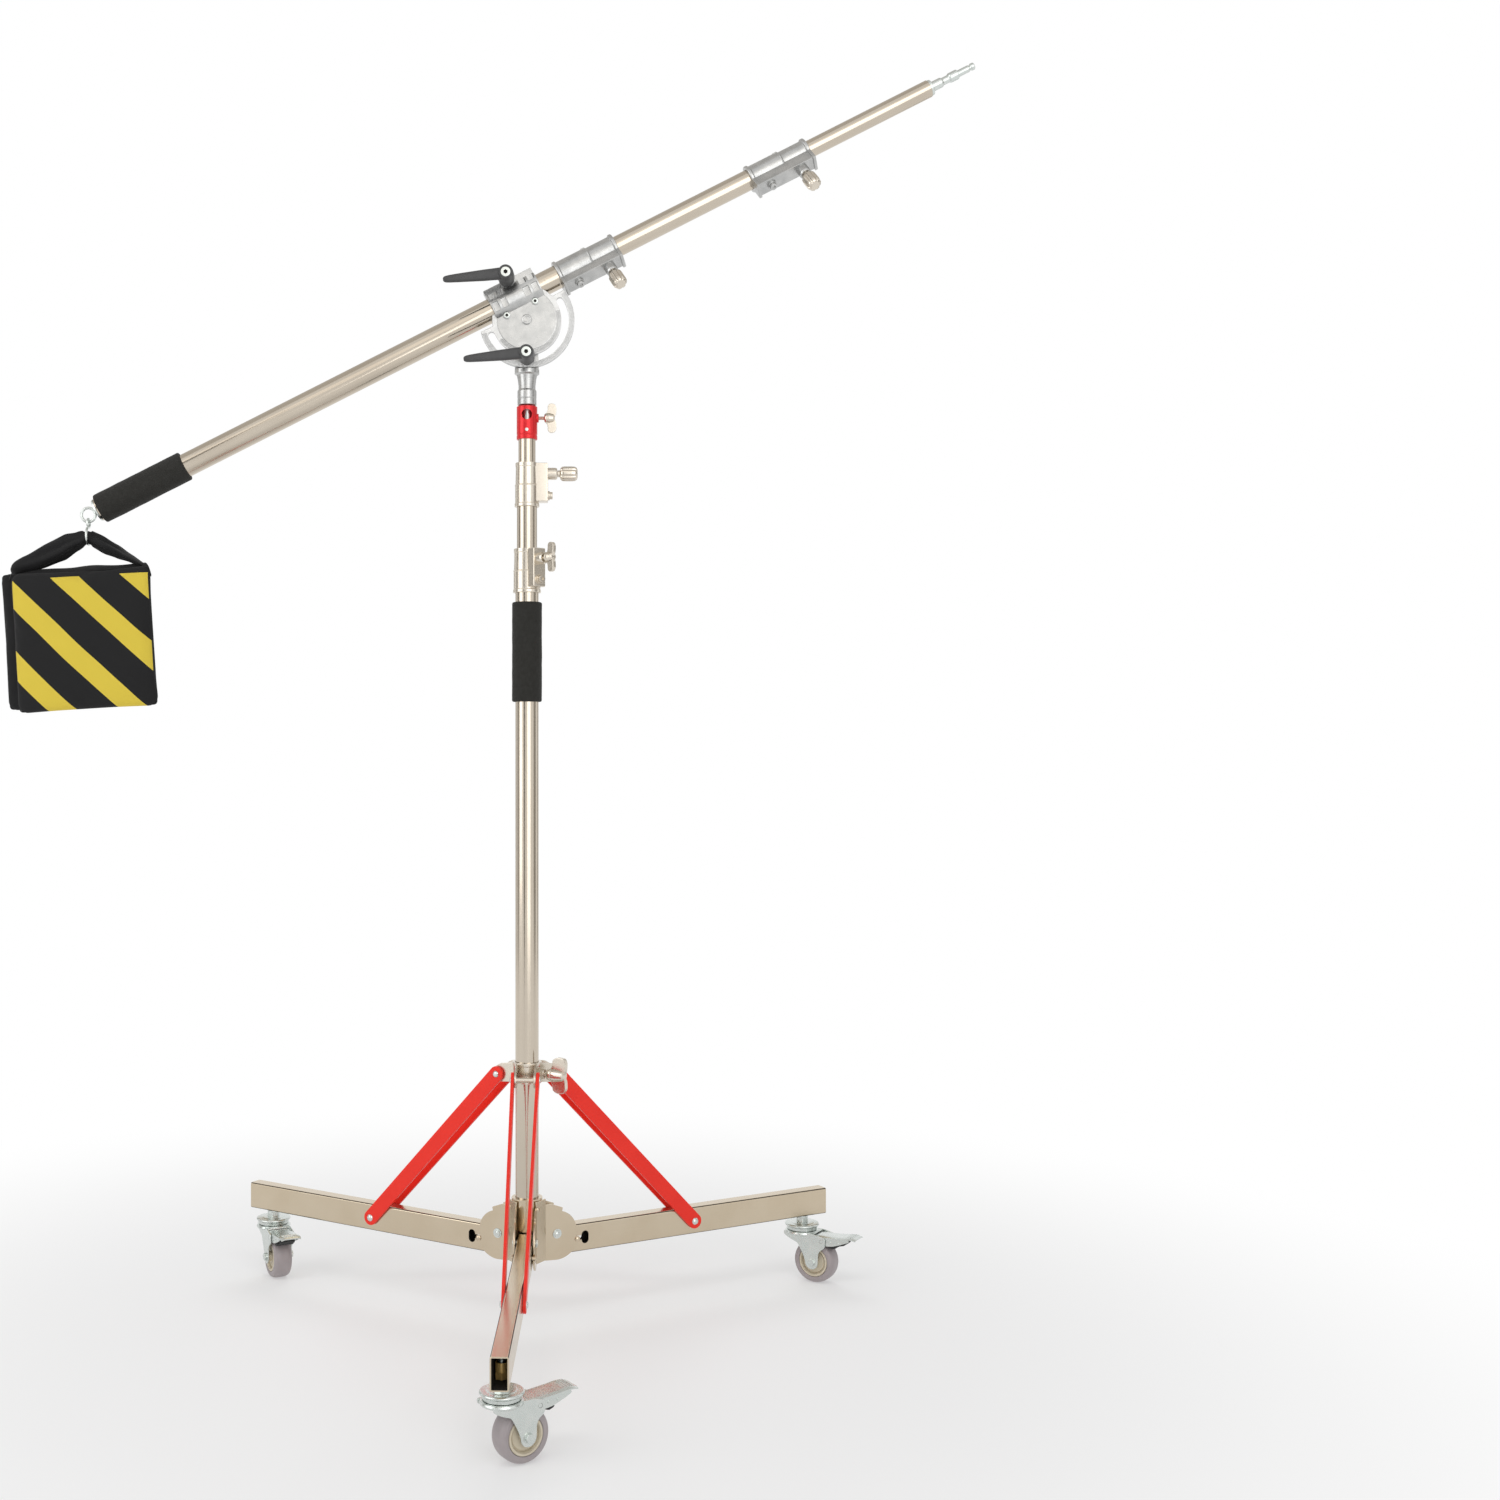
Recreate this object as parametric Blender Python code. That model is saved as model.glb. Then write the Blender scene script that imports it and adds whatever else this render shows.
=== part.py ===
"""Wheeled tripod stand with a telescoping column and a tilting, counterweighted boom arm.

Metres, +Z up. The stand is modelled round its column axis, and the whole model is moved at the
end so that the origin is the middle of its footprint on the floor.
"""
import math

import bmesh
import bpy
from mathutils import Matrix, Vector

# Clearances
GAP = 0.0003
SLIDE_GAP = 0.0004
TELESCOPE_GAP = 0.001
TURN_GAP = 0.0006

# Round pieces: how many flats stand for a circle
SEG = 24
SEG_SMALL = 12
SEG_PIN = 8
SEG_WHEEL = 16
SEG_ROUND = 20

# Casters, from the floor up
WHEEL_DIAMETER = 0.075
WHEEL_WIDTH = 0.032
CORE_DIAMETER = 0.052
AXLE_DIAMETER = 0.008
AXLE_HEAD = 0.0045
CASTER_TRAIL = 0.028
FORK_OVER_WHEEL = 0.007
FORK_CAP = 0.006
FORK_SHEET = 0.0025
FORK_WHEEL_GAP = 0.0035
RACE_RADIUS = 0.030
RACE_HEIGHT = 0.0115
STEM_DIAMETER = 0.012
STEM_NUT_HEIGHT = 0.009
STEM_WASHER = 0.0027
STEM_IN_LEG = 0.032
PEDAL_REACH = 0.108
PEDAL_PIVOT = 0.046
PEDAL_SHEET = 0.002
PEDAL_TRAVEL = 10.0
CASTER_TURNS = {"front": 123.0, "left": 26.0, "right": 57.0}

# Legs
LEG_TURN = -2.2
LEG_AZIMUTHS = {"front": LEG_TURN, "left": LEG_TURN - 120.0, "right": LEG_TURN + 120.0}
LEG_WIDTH = 0.025
LEG_HEIGHT = 0.045
LEG_WALL = 0.002
LEG_CORNER = 0.003
LEG_TIP = 0.586
CASTER_SETBACK = 0.043
LEG_PIVOT_RADIUS = 0.046
LEG_PIVOT_DROP = 0.009
LEG_BEHIND_PIVOT = 0.0155
LEG_FOLD = 90.0
BOLT_DIAMETER = 0.008
BOLT_HEAD = 0.0033

# Hub
HUB_WALL = 0.0058
HUB_FLOOR = 0.003
HUB_HEIGHT = 0.103
HUB_DROP = 0.005
CHEEK_SHEET = 0.003
CHEEK_CLEAR = 0.00175
CHEEK_RADIUS = 0.0425
CHEEK_RIM = 0.0365
CHEEK_HORN_BACK = 0.0094
CHEEK_HORN_RISE = 0.0488
HUB_FLAT_OUT = 0.0275

# Spring pins that lock the legs
PIN_DIAMETER = 0.006
PIN_ORBIT = 0.040
PIN_DROP = 0.0135
PIN_TRAVEL = 0.020
PIN_HEAD = 0.0028

# Struts and the sliding collar
STRUT_SPAN = 0.3179
STRUT_AT_LEG = 0.2635
STRUT_WIDTH = 0.025
STRUT_SHEET = 0.005
STRUT_SPLAY = 0.0045
STRUT_SIDE_GAP = 0.0005
STRUT_LENGTH = 0.379
COLLAR_HEIGHT = 0.034
COLLAR_WALL = 0.0042
EAR_SHEET = 0.0035
EAR_END = 0.0125
EAR_BELOW_TOP = 0.022
EAR_GAP = 0.0004
COLLAR_KNOB_TURN = 57.8

# Column
TUBE_WALL = 0.0015
COLUMN_TUBE = 0.038
COLUMN_LENGTH_1 = 1.105
COLUMN_LENGTH_2 = 1.030
COLUMN_LENGTH_3 = 1.000
COLUMN_SHOWN_2 = 0.068
COLUMN_SHOWN_3 = 0.038
COLUMN_CLAMP_LENGTH = 0.071
COLUMN_CLAMP_SEAT = 0.0285
COLUMN_CLAMP_WALL = 0.0036
COLUMN_GRIP_AT = 1.011
GRIP_LENGTH_COLUMN = 0.161
GRIP_WALL = 0.0055
COLUMN_LUG_TURNS = (38.0, 90.0)

# Red socket on the top tube
SOCKET_HEIGHT = 0.053
SOCKET_SEAT = 0.025
SOCKET_WALL = 0.0025
SOCKET_WINDOW = 0.017
SOCKET_WINDOW_DROP = 0.014

# Boom head
SPIGOT_DIAMETER = 0.016
SPIGOT_GAP = 0.0006
NECK_SLEEVE = 0.0155
NECK_FLANGE = 0.020
PIVOT_RISE = 0.1375
YOKE_SHEET = 0.012
YOKE_FOOT = 0.020
YOKE_BOSS = 0.015
QUADRANT_SHEET = 0.0097
QUADRANT_RADIUS = 0.0768
QUADRANT_DISC = 0.0485
SLOT_ORBIT = 0.06175
SLOT_WIDTH = 0.0115
SLOT_HALF_SPAN = 93.3
TILT_BOLT = 0.010
PIVOT_BOLT = 0.010
HEAD_BOLT_CAP = 0.016
LEVER_HUB = 0.0135
LEVER_HUB_HEIGHT = 0.049
LEVER_REACH = 0.100
LEVER_LEAN = 6.5
BOOM_ANGLE = 26.9
BOOM_LIFT = 0.043
JAW_BACK = 0.042
JAW_FRONT = 0.0436
JAW_WALL = 0.0075
JAW_FLANGE = 0.031
JAW_FLANGE_SHEET = 0.011
JAW_SPLIT = 0.0006
JAW_BOLT_RISE = 0.029
JAW_SCREWS = (-0.0255, 0.0255)

# Boom arm, along its axis from the foot of the pivot
BOOM_TUBE = 0.038
BOOM_TAIL = 0.756
BOOM_CLAMP_AT = 0.0775
BOOM_CLAMP_LENGTH = 0.106
BOOM_CLAMP_SEAT = 0.060
BOOM_CLAMP_WALL = 0.0030
BOOM_SHOWN_2 = 0.241
BOOM_SHOWN_3 = 0.2206
BOOM_LENGTH_2 = 0.800
BOOM_LENGTH_3 = 0.720
BOOM_LUG_LEAN = 34.0
BOOM_GRIP_INSET = 0.0025
GRIP_LENGTH_BOOM = 0.155
STUD_LENGTH = 0.047
STUD_TIP = 0.030
STUD_TIP_DIAMETER = 0.011
STUD_COLLAR = 0.0047

# Clamp lugs and knobs
LUG_REACH = 0.034
LUG_HALF = 0.012
BOSS_RADIUS = 0.0098
BOSS_OUT = 0.049
KNOB_RADIUS = 0.012
KNOB_BACK = 0.053
KNOB_LENGTH = 0.029
KNOB_SCREW = 0.006
WING_HALF = 0.024

# Eye bolt, hook and bag
EYE_BACK = 0.0185
EYE_RADIUS = 0.01125
EYE_WIRE = 0.0045
HOOK_WIRE = 0.004
HOOK_TOP_LOOP = 0.0068
HOOK_LOW_LOOP = 0.01385
BAG_WIDTH = 0.222
BAG_HEIGHT = 0.222
BAG_THICKNESS = 0.034
BAG_SPREAD = 0.032
BAG_SKEW = 0.018
BAG_SHIFT = -0.0155
BAG_ROLL = 3.5
BAG_DROP = 0.158
BAG_CLOTH = 0.004
STRAP_THICKNESS = 0.014

# Finishes: colour, roughness, metallic
STEEL = ((0.74, 0.68, 0.61), 0.28, 1.0)
ZINC = ((0.80, 0.82, 0.83), 0.34, 1.0)
CAST = ((0.76, 0.77, 0.78), 0.38, 1.0)
RED = ((0.80, 0.05, 0.03), 0.35, 0.0)
FOAM = ((0.02, 0.02, 0.022), 0.9, 0.0)
BLACK = ((0.035, 0.035, 0.038), 0.5, 0.0)
TYRE = ((0.36, 0.33, 0.33), 0.6, 0.0)
CREAM = ((0.66, 0.61, 0.50), 0.5, 0.0)
CLOTH = ((0.03, 0.03, 0.032), 0.85, 0.0)


def unit(azimuth):
    """Direction over the floor of an azimuth in degrees, 0 towards -Y and 90 towards +X."""
    a = math.radians(azimuth)
    return Vector((math.sin(a), -math.cos(a), 0.0))


def arc(cx, cz, radius, start, end, steps):
    """Points of an arc in degrees, both ends included."""
    angles = (math.radians(start + (end - start) * i / steps) for i in range(steps + 1))
    return [(cx + radius * math.cos(a), cz + radius * math.sin(a)) for a in angles]


def finished(bm):
    """Turn a bmesh into a mesh with its faces pointing out."""
    bmesh.ops.recalc_face_normals(bm, faces=bm.faces)
    mesh = bpy.data.meshes.new("shape")
    bm.to_mesh(mesh)
    bm.free()
    return mesh


def turned(outline, segments=SEG, ring=False):
    """Spin an outline of (radius, height) points about Z; a ring's outline closes on itself."""
    bm = bmesh.new()
    verts = [bm.verts.new((radius, 0.0, height)) for radius, height in outline]
    edges = [bm.edges.new(pair) for pair in zip(verts, verts[1:])]
    if ring:
        edges.append(bm.edges.new((verts[-1], verts[0])))
    bmesh.ops.spin(bm, geom=verts + edges, cent=(0, 0, 0), axis=(0, 0, 1),
                   angle=2 * math.pi, steps=segments, use_merge=True)
    bmesh.ops.remove_doubles(bm, verts=bm.verts, dist=1e-6)
    return finished(bm)


def prism(outline, low, high):
    """Extrude an outline of (x, z) points along Y."""
    bm = bmesh.new()
    face = bm.faces.new([bm.verts.new((x, low, z)) for x, z in outline])
    grown = bmesh.ops.extrude_face_region(bm, geom=[face])["geom"]
    moved = [v for v in grown if isinstance(v, bmesh.types.BMVert)]
    bmesh.ops.translate(bm, verts=moved, vec=(0.0, high - low, 0.0))
    return finished(bm)


def block(low, high):
    """A box between two corners."""
    corners = [(low[0], low[2]), (high[0], low[2]), (high[0], high[2]), (low[0], high[2])]
    return prism(corners, low[1], high[1])


def loft(rings):
    """Bridge rings of equally many points, with both ends capped."""
    bm = bmesh.new()
    loops = [[bm.verts.new(point) for point in ring] for ring in rings]
    count = len(loops[0])
    for lower, upper in zip(loops, loops[1:]):
        for i in range(count):
            j = (i + 1) % count
            bm.faces.new((lower[i], lower[j], upper[j], upper[i]))
    bm.faces.new(loops[0])
    bm.faces.new(loops[-1])
    return finished(bm)


def swept(path, radius, sides):
    """A round wire along a path of points, with both ends capped."""
    points = [Vector(p) for p in path]
    rings = []
    side = None
    for i, point in enumerate(points):
        ahead = (points[min(i + 1, len(points) - 1)] - points[max(i - 1, 0)]).normalized()
        if side is None:
            side = ahead.orthogonal().normalized()
        side = (side - ahead * side.dot(ahead)).normalized()
        other = ahead.cross(side)
        turns = [2 * math.pi * k / sides for k in range(sides)]
        rings.append([point + radius * (math.cos(t) * side + math.sin(t) * other) for t in turns])
    return loft(rings)


def rod(radius, start, end, segments=SEG_PIN, tip=0.0):
    """A round bar from start to end, with an optional chamfer at the far end."""
    start, end = Vector(start), Vector(end)
    length = (end - start).length
    outline = [(0, 0), (radius, 0), (radius, length - tip)]
    outline += [(radius - tip, length)] if tip else []
    outline += [(0, length)]
    return placed(turned(outline, segments), start, end - start)


def placed(mesh, at, axis):
    """Stand a mesh that was made along Z on a point, along another axis."""
    turn = Vector((0, 0, 1)).rotation_difference(Vector(axis).normalized()).to_matrix().to_4x4()
    mesh.transform(Matrix.Translation(Vector(at)) @ turn)
    return mesh


def moved(mesh, at=(0, 0, 0), turn=(0, 0, 0)):
    """Move a mesh, turned by degrees about X, Y and Z."""
    spin = Matrix.Identity(4)
    for angle, letter in zip(turn, "XYZ"):
        spin = Matrix.Rotation(math.radians(angle), 4, letter) @ spin
    mesh.transform(Matrix.Translation(Vector(at)) @ spin)
    return mesh


def mirrored(mesh):
    """The mesh's mirror image across the XZ plane."""
    twin = mesh.copy()
    twin.transform(Matrix.Scale(-1, 4, (0, 1, 0)))
    twin.flip_normals()
    return twin


def combined(base, tools, operation):
    """Run one Boolean modifier for each tool on a mesh and return the result."""
    body = bpy.data.objects.new("body", base)
    helpers = [bpy.data.objects.new("tool", tool) for tool in tools]
    for thing in [body] + helpers:
        bpy.context.collection.objects.link(thing)
    for helper in helpers:
        step = body.modifiers.new("step", "BOOLEAN")
        step.operation = operation
        step.solver = "EXACT"
        step.object = helper
    graph = bpy.context.evaluated_depsgraph_get()
    result = bpy.data.meshes.new_from_object(body.evaluated_get(graph), depsgraph=graph)
    for thing in [body] + helpers:
        bpy.data.objects.remove(thing)
    bm = bmesh.new()
    bm.from_mesh(result)
    bmesh.ops.remove_doubles(bm, verts=bm.verts, dist=2e-6)
    bmesh.ops.dissolve_degenerate(bm, edges=bm.edges, dist=2e-6)
    bmesh.ops.dissolve_limit(bm, angle_limit=math.radians(0.1), verts=bm.verts, edges=bm.edges)
    bm.to_mesh(result)
    bm.free()
    return result


def joined(base, *tools):
    return combined(base, tools, "UNION")


def cut(base, *tools):
    return combined(base, tools, "DIFFERENCE")


def frame(name, parent=None, at=(0, 0, 0), turn=(0, 0, 0)):
    """An empty that carries pieces, turned by degrees."""
    holder = bpy.data.objects.new(name, None)
    bpy.context.collection.objects.link(holder)
    holder.parent = parent
    holder.location = at
    holder.rotation_euler = [math.radians(a) for a in turn]
    return holder


def piece(name, mesh, finish, parent, at=(0, 0, 0)):
    """Name a sub-part, give it a material of its own and hang it on its frame."""
    colour, roughness, metallic = finish
    paint = bpy.data.materials.new(name)
    paint.use_nodes = True
    shader = paint.node_tree.nodes["Principled BSDF"]
    shader.inputs["Base Color"].default_value = (*colour, 1.0)
    shader.inputs["Roughness"].default_value = roughness
    shader.inputs["Metallic"].default_value = metallic
    if not mesh.materials:
        mesh.materials.append(None)
    mesh.shade_smooth()
    mesh.set_sharp_from_angle(angle=math.radians(35))
    thing = bpy.data.objects.new(name, mesh)
    bpy.context.collection.objects.link(thing)
    thing.material_slots[0].link = "OBJECT"
    thing.material_slots[0].material = paint
    thing.parent = parent
    thing.location = at
    return thing


# Heights that follow from the sizes above
WHEEL_RADIUS = WHEEL_DIAMETER / 2
FORK_TOP = WHEEL_DIAMETER + FORK_OVER_WHEEL + FORK_CAP
PEDAL_PIVOT_Z = FORK_TOP - 0.012
RACE_BOTTOM = FORK_TOP + TURN_GAP
RACE_TOP = RACE_BOTTOM + RACE_HEIGHT
LEG_BOTTOM = RACE_TOP + STEM_NUT_HEIGHT + STEM_WASHER + GAP
LEG_TOP = LEG_BOTTOM + LEG_HEIGHT
PIVOT_Z = LEG_TOP - LEG_PIVOT_DROP
HUB_BOTTOM = LEG_BOTTOM - HUB_DROP
HUB_TOP = HUB_BOTTOM + HUB_HEIGHT
COLUMN_RADIUS = COLUMN_TUBE / 2
HUB_RADIUS = COLUMN_RADIUS + GAP + HUB_WALL
TUBE_1_TOP = HUB_BOTTOM + HUB_FLOOR + GAP + COLUMN_LENGTH_1
CLAMP_1_BOTTOM = TUBE_1_TOP + GAP - COLUMN_CLAMP_SEAT
CLAMP_2_BOTTOM = CLAMP_1_BOTTOM + COLUMN_CLAMP_LENGTH + COLUMN_SHOWN_2
SOCKET_BOTTOM = CLAMP_2_BOTTOM + COLUMN_CLAMP_LENGTH + COLUMN_SHOWN_3
SOCKET_TOP = SOCKET_BOTTOM + SOCKET_HEIGHT
PIVOT_HEIGHT = SOCKET_TOP + PIVOT_RISE
COLUMN_RADIUS_2 = COLUMN_RADIUS - TUBE_WALL - TELESCOPE_GAP
COLUMN_RADIUS_3 = COLUMN_RADIUS_2 - TUBE_WALL - TELESCOPE_GAP
BOOM_RADIUS = BOOM_TUBE / 2
BOOM_RADIUS_2 = BOOM_RADIUS - TUBE_WALL - TELESCOPE_GAP
BOOM_RADIUS_3 = BOOM_RADIUS_2 - TUBE_WALL - TELESCOPE_GAP
QUADRANT_BACK = -YOKE_SHEET / 2 - GAP
QUADRANT_FRONT = QUADRANT_BACK - QUADRANT_SHEET
JAW_OUTER = BOOM_RADIUS + GAP + JAW_WALL
JAW_BOLT_Z = BOOM_LIFT + JAW_BOLT_RISE
JAW_SCREW_Z = BOOM_LIFT - BOOM_RADIUS - 0.0035
LEVER_SEAT = -JAW_FLANGE_SHEET - 0.006 - GAP
CHEEK_MIDDLE = LEG_WIDTH / 2 + CHEEK_CLEAR + CHEEK_SHEET / 2
CHEEK_FACE = CHEEK_MIDDLE + CHEEK_SHEET / 2
PIN_OUT = math.sqrt(PIN_ORBIT ** 2 - PIN_DROP ** 2)
PIN_ANGLE = math.degrees(math.asin(PIN_DROP / PIN_ORBIT))
STRUT_REACH = math.sqrt(STRUT_LENGTH ** 2 - STRUT_AT_LEG ** 2)
COLLAR_PIVOT_Z = PIVOT_Z - PIN_DROP + STRUT_REACH
STRUT_ANGLE = math.degrees(math.atan2(STRUT_REACH, -STRUT_AT_LEG))
STRUT_INNER = LEG_WIDTH / 2 + STRUT_SIDE_GAP
EAR_FACE = STRUT_INNER + STRUT_SPLAY - EAR_GAP


def box_tube(start, end):
    """The leg's rectangular tube along X, with rounded corners, open at both ends."""
    def section(inset, radius):
        half, top = LEG_WIDTH / 2 - inset, LEG_PIVOT_DROP - inset
        bottom = LEG_PIVOT_DROP - LEG_HEIGHT + inset
        corners = [(half, top, 0), (-half, top, 90), (-half, bottom, 180), (half, bottom, 270)]
        points = []
        for y, z, first in corners:
            cy, cz = y - math.copysign(radius, y), z - (radius if z == top else -radius)
            points += arc(cy, cz, radius, first, first + 90, 2)
        return points

    outer = section(0.0, LEG_CORNER)
    inner = section(LEG_WALL, max(LEG_CORNER - LEG_WALL, LEG_CORNER / 4))
    rings = [(outer, start), (outer, end), (inner, end), (inner, start)]
    bm = bmesh.new()
    loops = [[bm.verts.new((x, y, z)) for y, z in points] for points, x in rings]
    count = len(outer)
    for here, there in zip(loops, loops[1:] + loops[:1]):
        for i in range(count):
            j = (i + 1) % count
            bm.faces.new((here[i], here[j], there[j], there[i]))
    return finished(bm)


def leg_shape():
    """One leg from its pivot out: bolt holes, the pin's keyhole slot and the stem hole."""
    tip = LEG_TIP - LEG_PIVOT_RADIUS
    wide = LEG_WIDTH
    bolt_hole = BOLT_DIAMETER / 2 + GAP
    slot_half = PIN_DIAMETER / 2 + SLIDE_GAP
    slot_end = PIN_OUT + PIN_TRAVEL
    slot = [(PIN_OUT - slot_half, -PIN_DROP - slot_half), (slot_end, -PIN_DROP - slot_half),
            (slot_end, -PIN_DROP + slot_half), (PIN_OUT - slot_half, -PIN_DROP + slot_half)]
    hole_half, hole_tall = 0.0065, 0.0105
    middle = slot_end - slot_half
    keyhole = arc(middle, -PIN_DROP + hole_tall - hole_half, hole_half, 0, 180, 6)
    keyhole += arc(middle, -PIN_DROP - hole_tall + hole_half, hole_half, 180, 360, 6)
    stem_x = tip - CASTER_SETBACK
    bottom = LEG_PIVOT_DROP - LEG_HEIGHT
    return cut(
        box_tube(-LEG_BEHIND_PIVOT, tip),
        rod(bolt_hole, (0, -wide, 0), (0, wide, 0), SEG_SMALL),
        rod(bolt_hole, (STRUT_AT_LEG, -wide, -PIN_DROP), (STRUT_AT_LEG, wide, -PIN_DROP), SEG_SMALL),
        prism(slot, -wide, wide),
        prism(keyhole, -wide, wide),
        rod(STEM_DIAMETER / 2 + GAP, (stem_x, 0, bottom - LEG_WALL), (stem_x, 0, bottom + 2 * LEG_WALL), SEG_WHEEL),
    )


def headed_bolt(half_grip, x, z, diameter=BOLT_DIAMETER, head=BOLT_HEAD):
    """A pivot bolt along Y with a domed head at each end, as a riveted pivot has."""
    radius = diameter / 2
    dome = [(0, head), (radius * 0.8, head * 0.92), (radius * 1.5, head * 0.2), (radius * 1.5, 0), (0, 0)]
    ends = [placed(turned(dome, SEG_PIN), (x, side * half_grip, z), (0, side, 0)) for side in (-1, 1)]
    reach = half_grip + head / 3
    return joined(rod(radius, (x, -reach, z), (x, reach, z)), *ends)


def strut_shape():
    """Two flat bars riveted on the leg's bolt, splayed towards the collar, along X from the bolt."""
    half = STRUT_WIDTH / 2
    outline = arc(0, 0, half, 90, 270, 6) + arc(STRUT_LENGTH, 0, half, -90, 90, 6)
    bar = prism(outline, STRUT_INNER, STRUT_INNER + STRUT_SHEET)
    for vert in bar.vertices:
        vert.co.y += STRUT_SPLAY * vert.co.x / STRUT_LENGTH
    outside = STRUT_INNER + STRUT_SHEET
    dome = [(0, 0.0030), (0.0035, 0.0026), (0.0055, 0.0006), (0.0055, -0.001), (0, -0.001)]
    rivet = placed(turned(dome, SEG_PIN), (STRUT_LENGTH, outside + STRUT_SPLAY, 0), (0, 1, 0))
    right = joined(bar, rivet)
    return joined(right, mirrored(right), headed_bolt(outside - GAP, 0, 0))


def pin_shape():
    """The spring pin across the leg, with a head outside each cheek."""
    return headed_bolt(CHEEK_FACE + SLIDE_GAP, 0, 0, PIN_DIAMETER, PIN_HEAD)


def hub_shape():
    """Sleeve with three bent channels, whose cheeks carry the leg pivots and pin notches."""
    sleeve = turned([(0, HUB_BOTTOM), (HUB_RADIUS, HUB_BOTTOM), (HUB_RADIUS, HUB_TOP), (0, HUB_TOP)])
    half = math.radians(60)
    bend = (HUB_FLAT_OUT - CHEEK_FACE * math.sin(half)) / math.cos(half)
    shoulder = math.degrees(math.asin((PIN_DIAMETER / 2 + SLIDE_GAP) / PIN_ORBIT))
    low_stop = -PIN_ANGLE - shoulder
    high_stop = LEG_FOLD - PIN_ANGLE + shoulder
    back = bend - LEG_PIVOT_RADIUS - 0.0025
    outline = [(back, HUB_BOTTOM - PIVOT_Z), (back, CHEEK_HORN_RISE), (-CHEEK_HORN_BACK, CHEEK_HORN_RISE)]
    outline += [(CHEEK_RADIUS * math.cos(math.radians(high_stop)), CHEEK_RADIUS * math.sin(math.radians(high_stop)))]
    outline += arc(0, 0, CHEEK_RIM, high_stop, low_stop, 8) + arc(0, 0, CHEEK_RADIUS, low_stop, -96, 5)
    cheek = cut(
        prism(outline, CHEEK_MIDDLE - CHEEK_SHEET / 2, CHEEK_FACE),
        rod(BOLT_DIAMETER / 2 + GAP, (0, 0, 0), (0, 2 * CHEEK_FACE, 0), SEG_SMALL),
    )
    cheek.transform(Matrix.Translation((LEG_PIVOT_RADIUS, 0, PIVOT_Z)))
    flat_half = bend * math.sin(half) - CHEEK_FACE * math.cos(half) + 0.0005
    flat = block((HUB_RADIUS - 0.0006, -flat_half, HUB_BOTTOM + 0.0005), (HUB_FLAT_OUT, flat_half, HUB_TOP - 0.003))
    screw = rod(0.0035, (HUB_FLAT_OUT - 0.001, -0.0095, HUB_TOP - 0.015), (HUB_FLAT_OUT + 0.0025, -0.0095, HUB_TOP - 0.015))
    tools = []
    for azimuth in LEG_AZIMUTHS.values():
        for side in (cheek.copy(), mirrored(cheek)):
            tools.append(moved(side, turn=(0, 0, azimuth - 90)))
        for part in (flat.copy(), screw.copy()):
            tools.append(moved(part, turn=(0, 0, azimuth - 30)))
    bore = rod(COLUMN_RADIUS + GAP, (0, 0, HUB_BOTTOM + HUB_FLOOR), (0, 0, HUB_TOP + 0.01), SEG)
    return cut(joined(sleeve, *tools), bore)


def pipe(radius, bottom, top):
    """A tube of the common wall, open at both ends."""
    inner = radius - TUBE_WALL
    return turned([(radius, top), (radius, bottom), (inner, bottom), (inner, top)], ring=True)


def grip_shape(radius, length):
    """A foam sleeve from z = 0 up, with softened ends."""
    inner, outer, soft = radius + GAP, radius + GRIP_WALL, 0.0015
    outline = [(inner, length), (outer - soft, length), (outer, length - soft), (outer, 0), (inner, 0)]
    return turned(outline, ring=True)


def clamp_shape(radius, next_radius, length, seat, wall, step, knob_at, screw_at, rims, lug_from):
    """A cast clamp up Z from its seat on one tube, with its lug, boss and fixed screw on +X."""
    low, high = radius + wall, next_radius + wall + 0.0012
    outline = [(0, 0)]
    rim_height, rim_out = 0.006, 0.0025
    if rims:
        outline += [(low + rim_out, 0), (low + rim_out, rim_height), (low, rim_height)]
    else:
        outline += [(low, 0)]
    outline += [(low, step), (high, step + 0.001)]
    if rims:
        top = high + rim_out
        outline += [(high, length - rim_height), (top, length - rim_height), (top, length)]
    else:
        outline += [(high, length)]
    outline += [(0, length)]
    lug = block((0, -LUG_HALF, lug_from), (LUG_REACH, LUG_HALF, length - 0.0005))
    tools = [lug, rod(BOSS_RADIUS, (LUG_REACH - 0.002, 0, knob_at), (BOSS_OUT, 0, knob_at), SEG_SMALL)]
    if rims:
        ends = [(0.0004, rim_height - 0.0004), (length - rim_height + 0.0004, length - 0.0003)]
        for bottom, top in ends:
            tools.append(block((0, -LUG_HALF - 0.002, bottom), (LUG_REACH + 0.002, LUG_HALF + 0.002, top)))
    tools.append(rod(0.0075, (LUG_REACH - 0.002, 0, screw_at), (LUG_REACH + 0.003, 0, screw_at), SEG_SMALL))
    tools.append(rod(0.0060, (LUG_REACH - 0.001, 0, screw_at), (LUG_REACH + 0.0075, 0, screw_at), SEG_SMALL, 0.001))
    bore = turned([(0, -0.01), (radius + GAP, -0.01), (radius + GAP, seat), (next_radius + SLIDE_GAP, seat),
                   (next_radius + SLIDE_GAP, length + 0.01), (0, length + 0.01)], SEG_ROUND)
    knob_hole = rod(KNOB_SCREW / 2 + GAP, (0, 0, knob_at), (BOSS_OUT + 0.01, 0, knob_at))
    return cut(joined(turned(outline, SEG_ROUND), *tools), bore, knob_hole)


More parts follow.
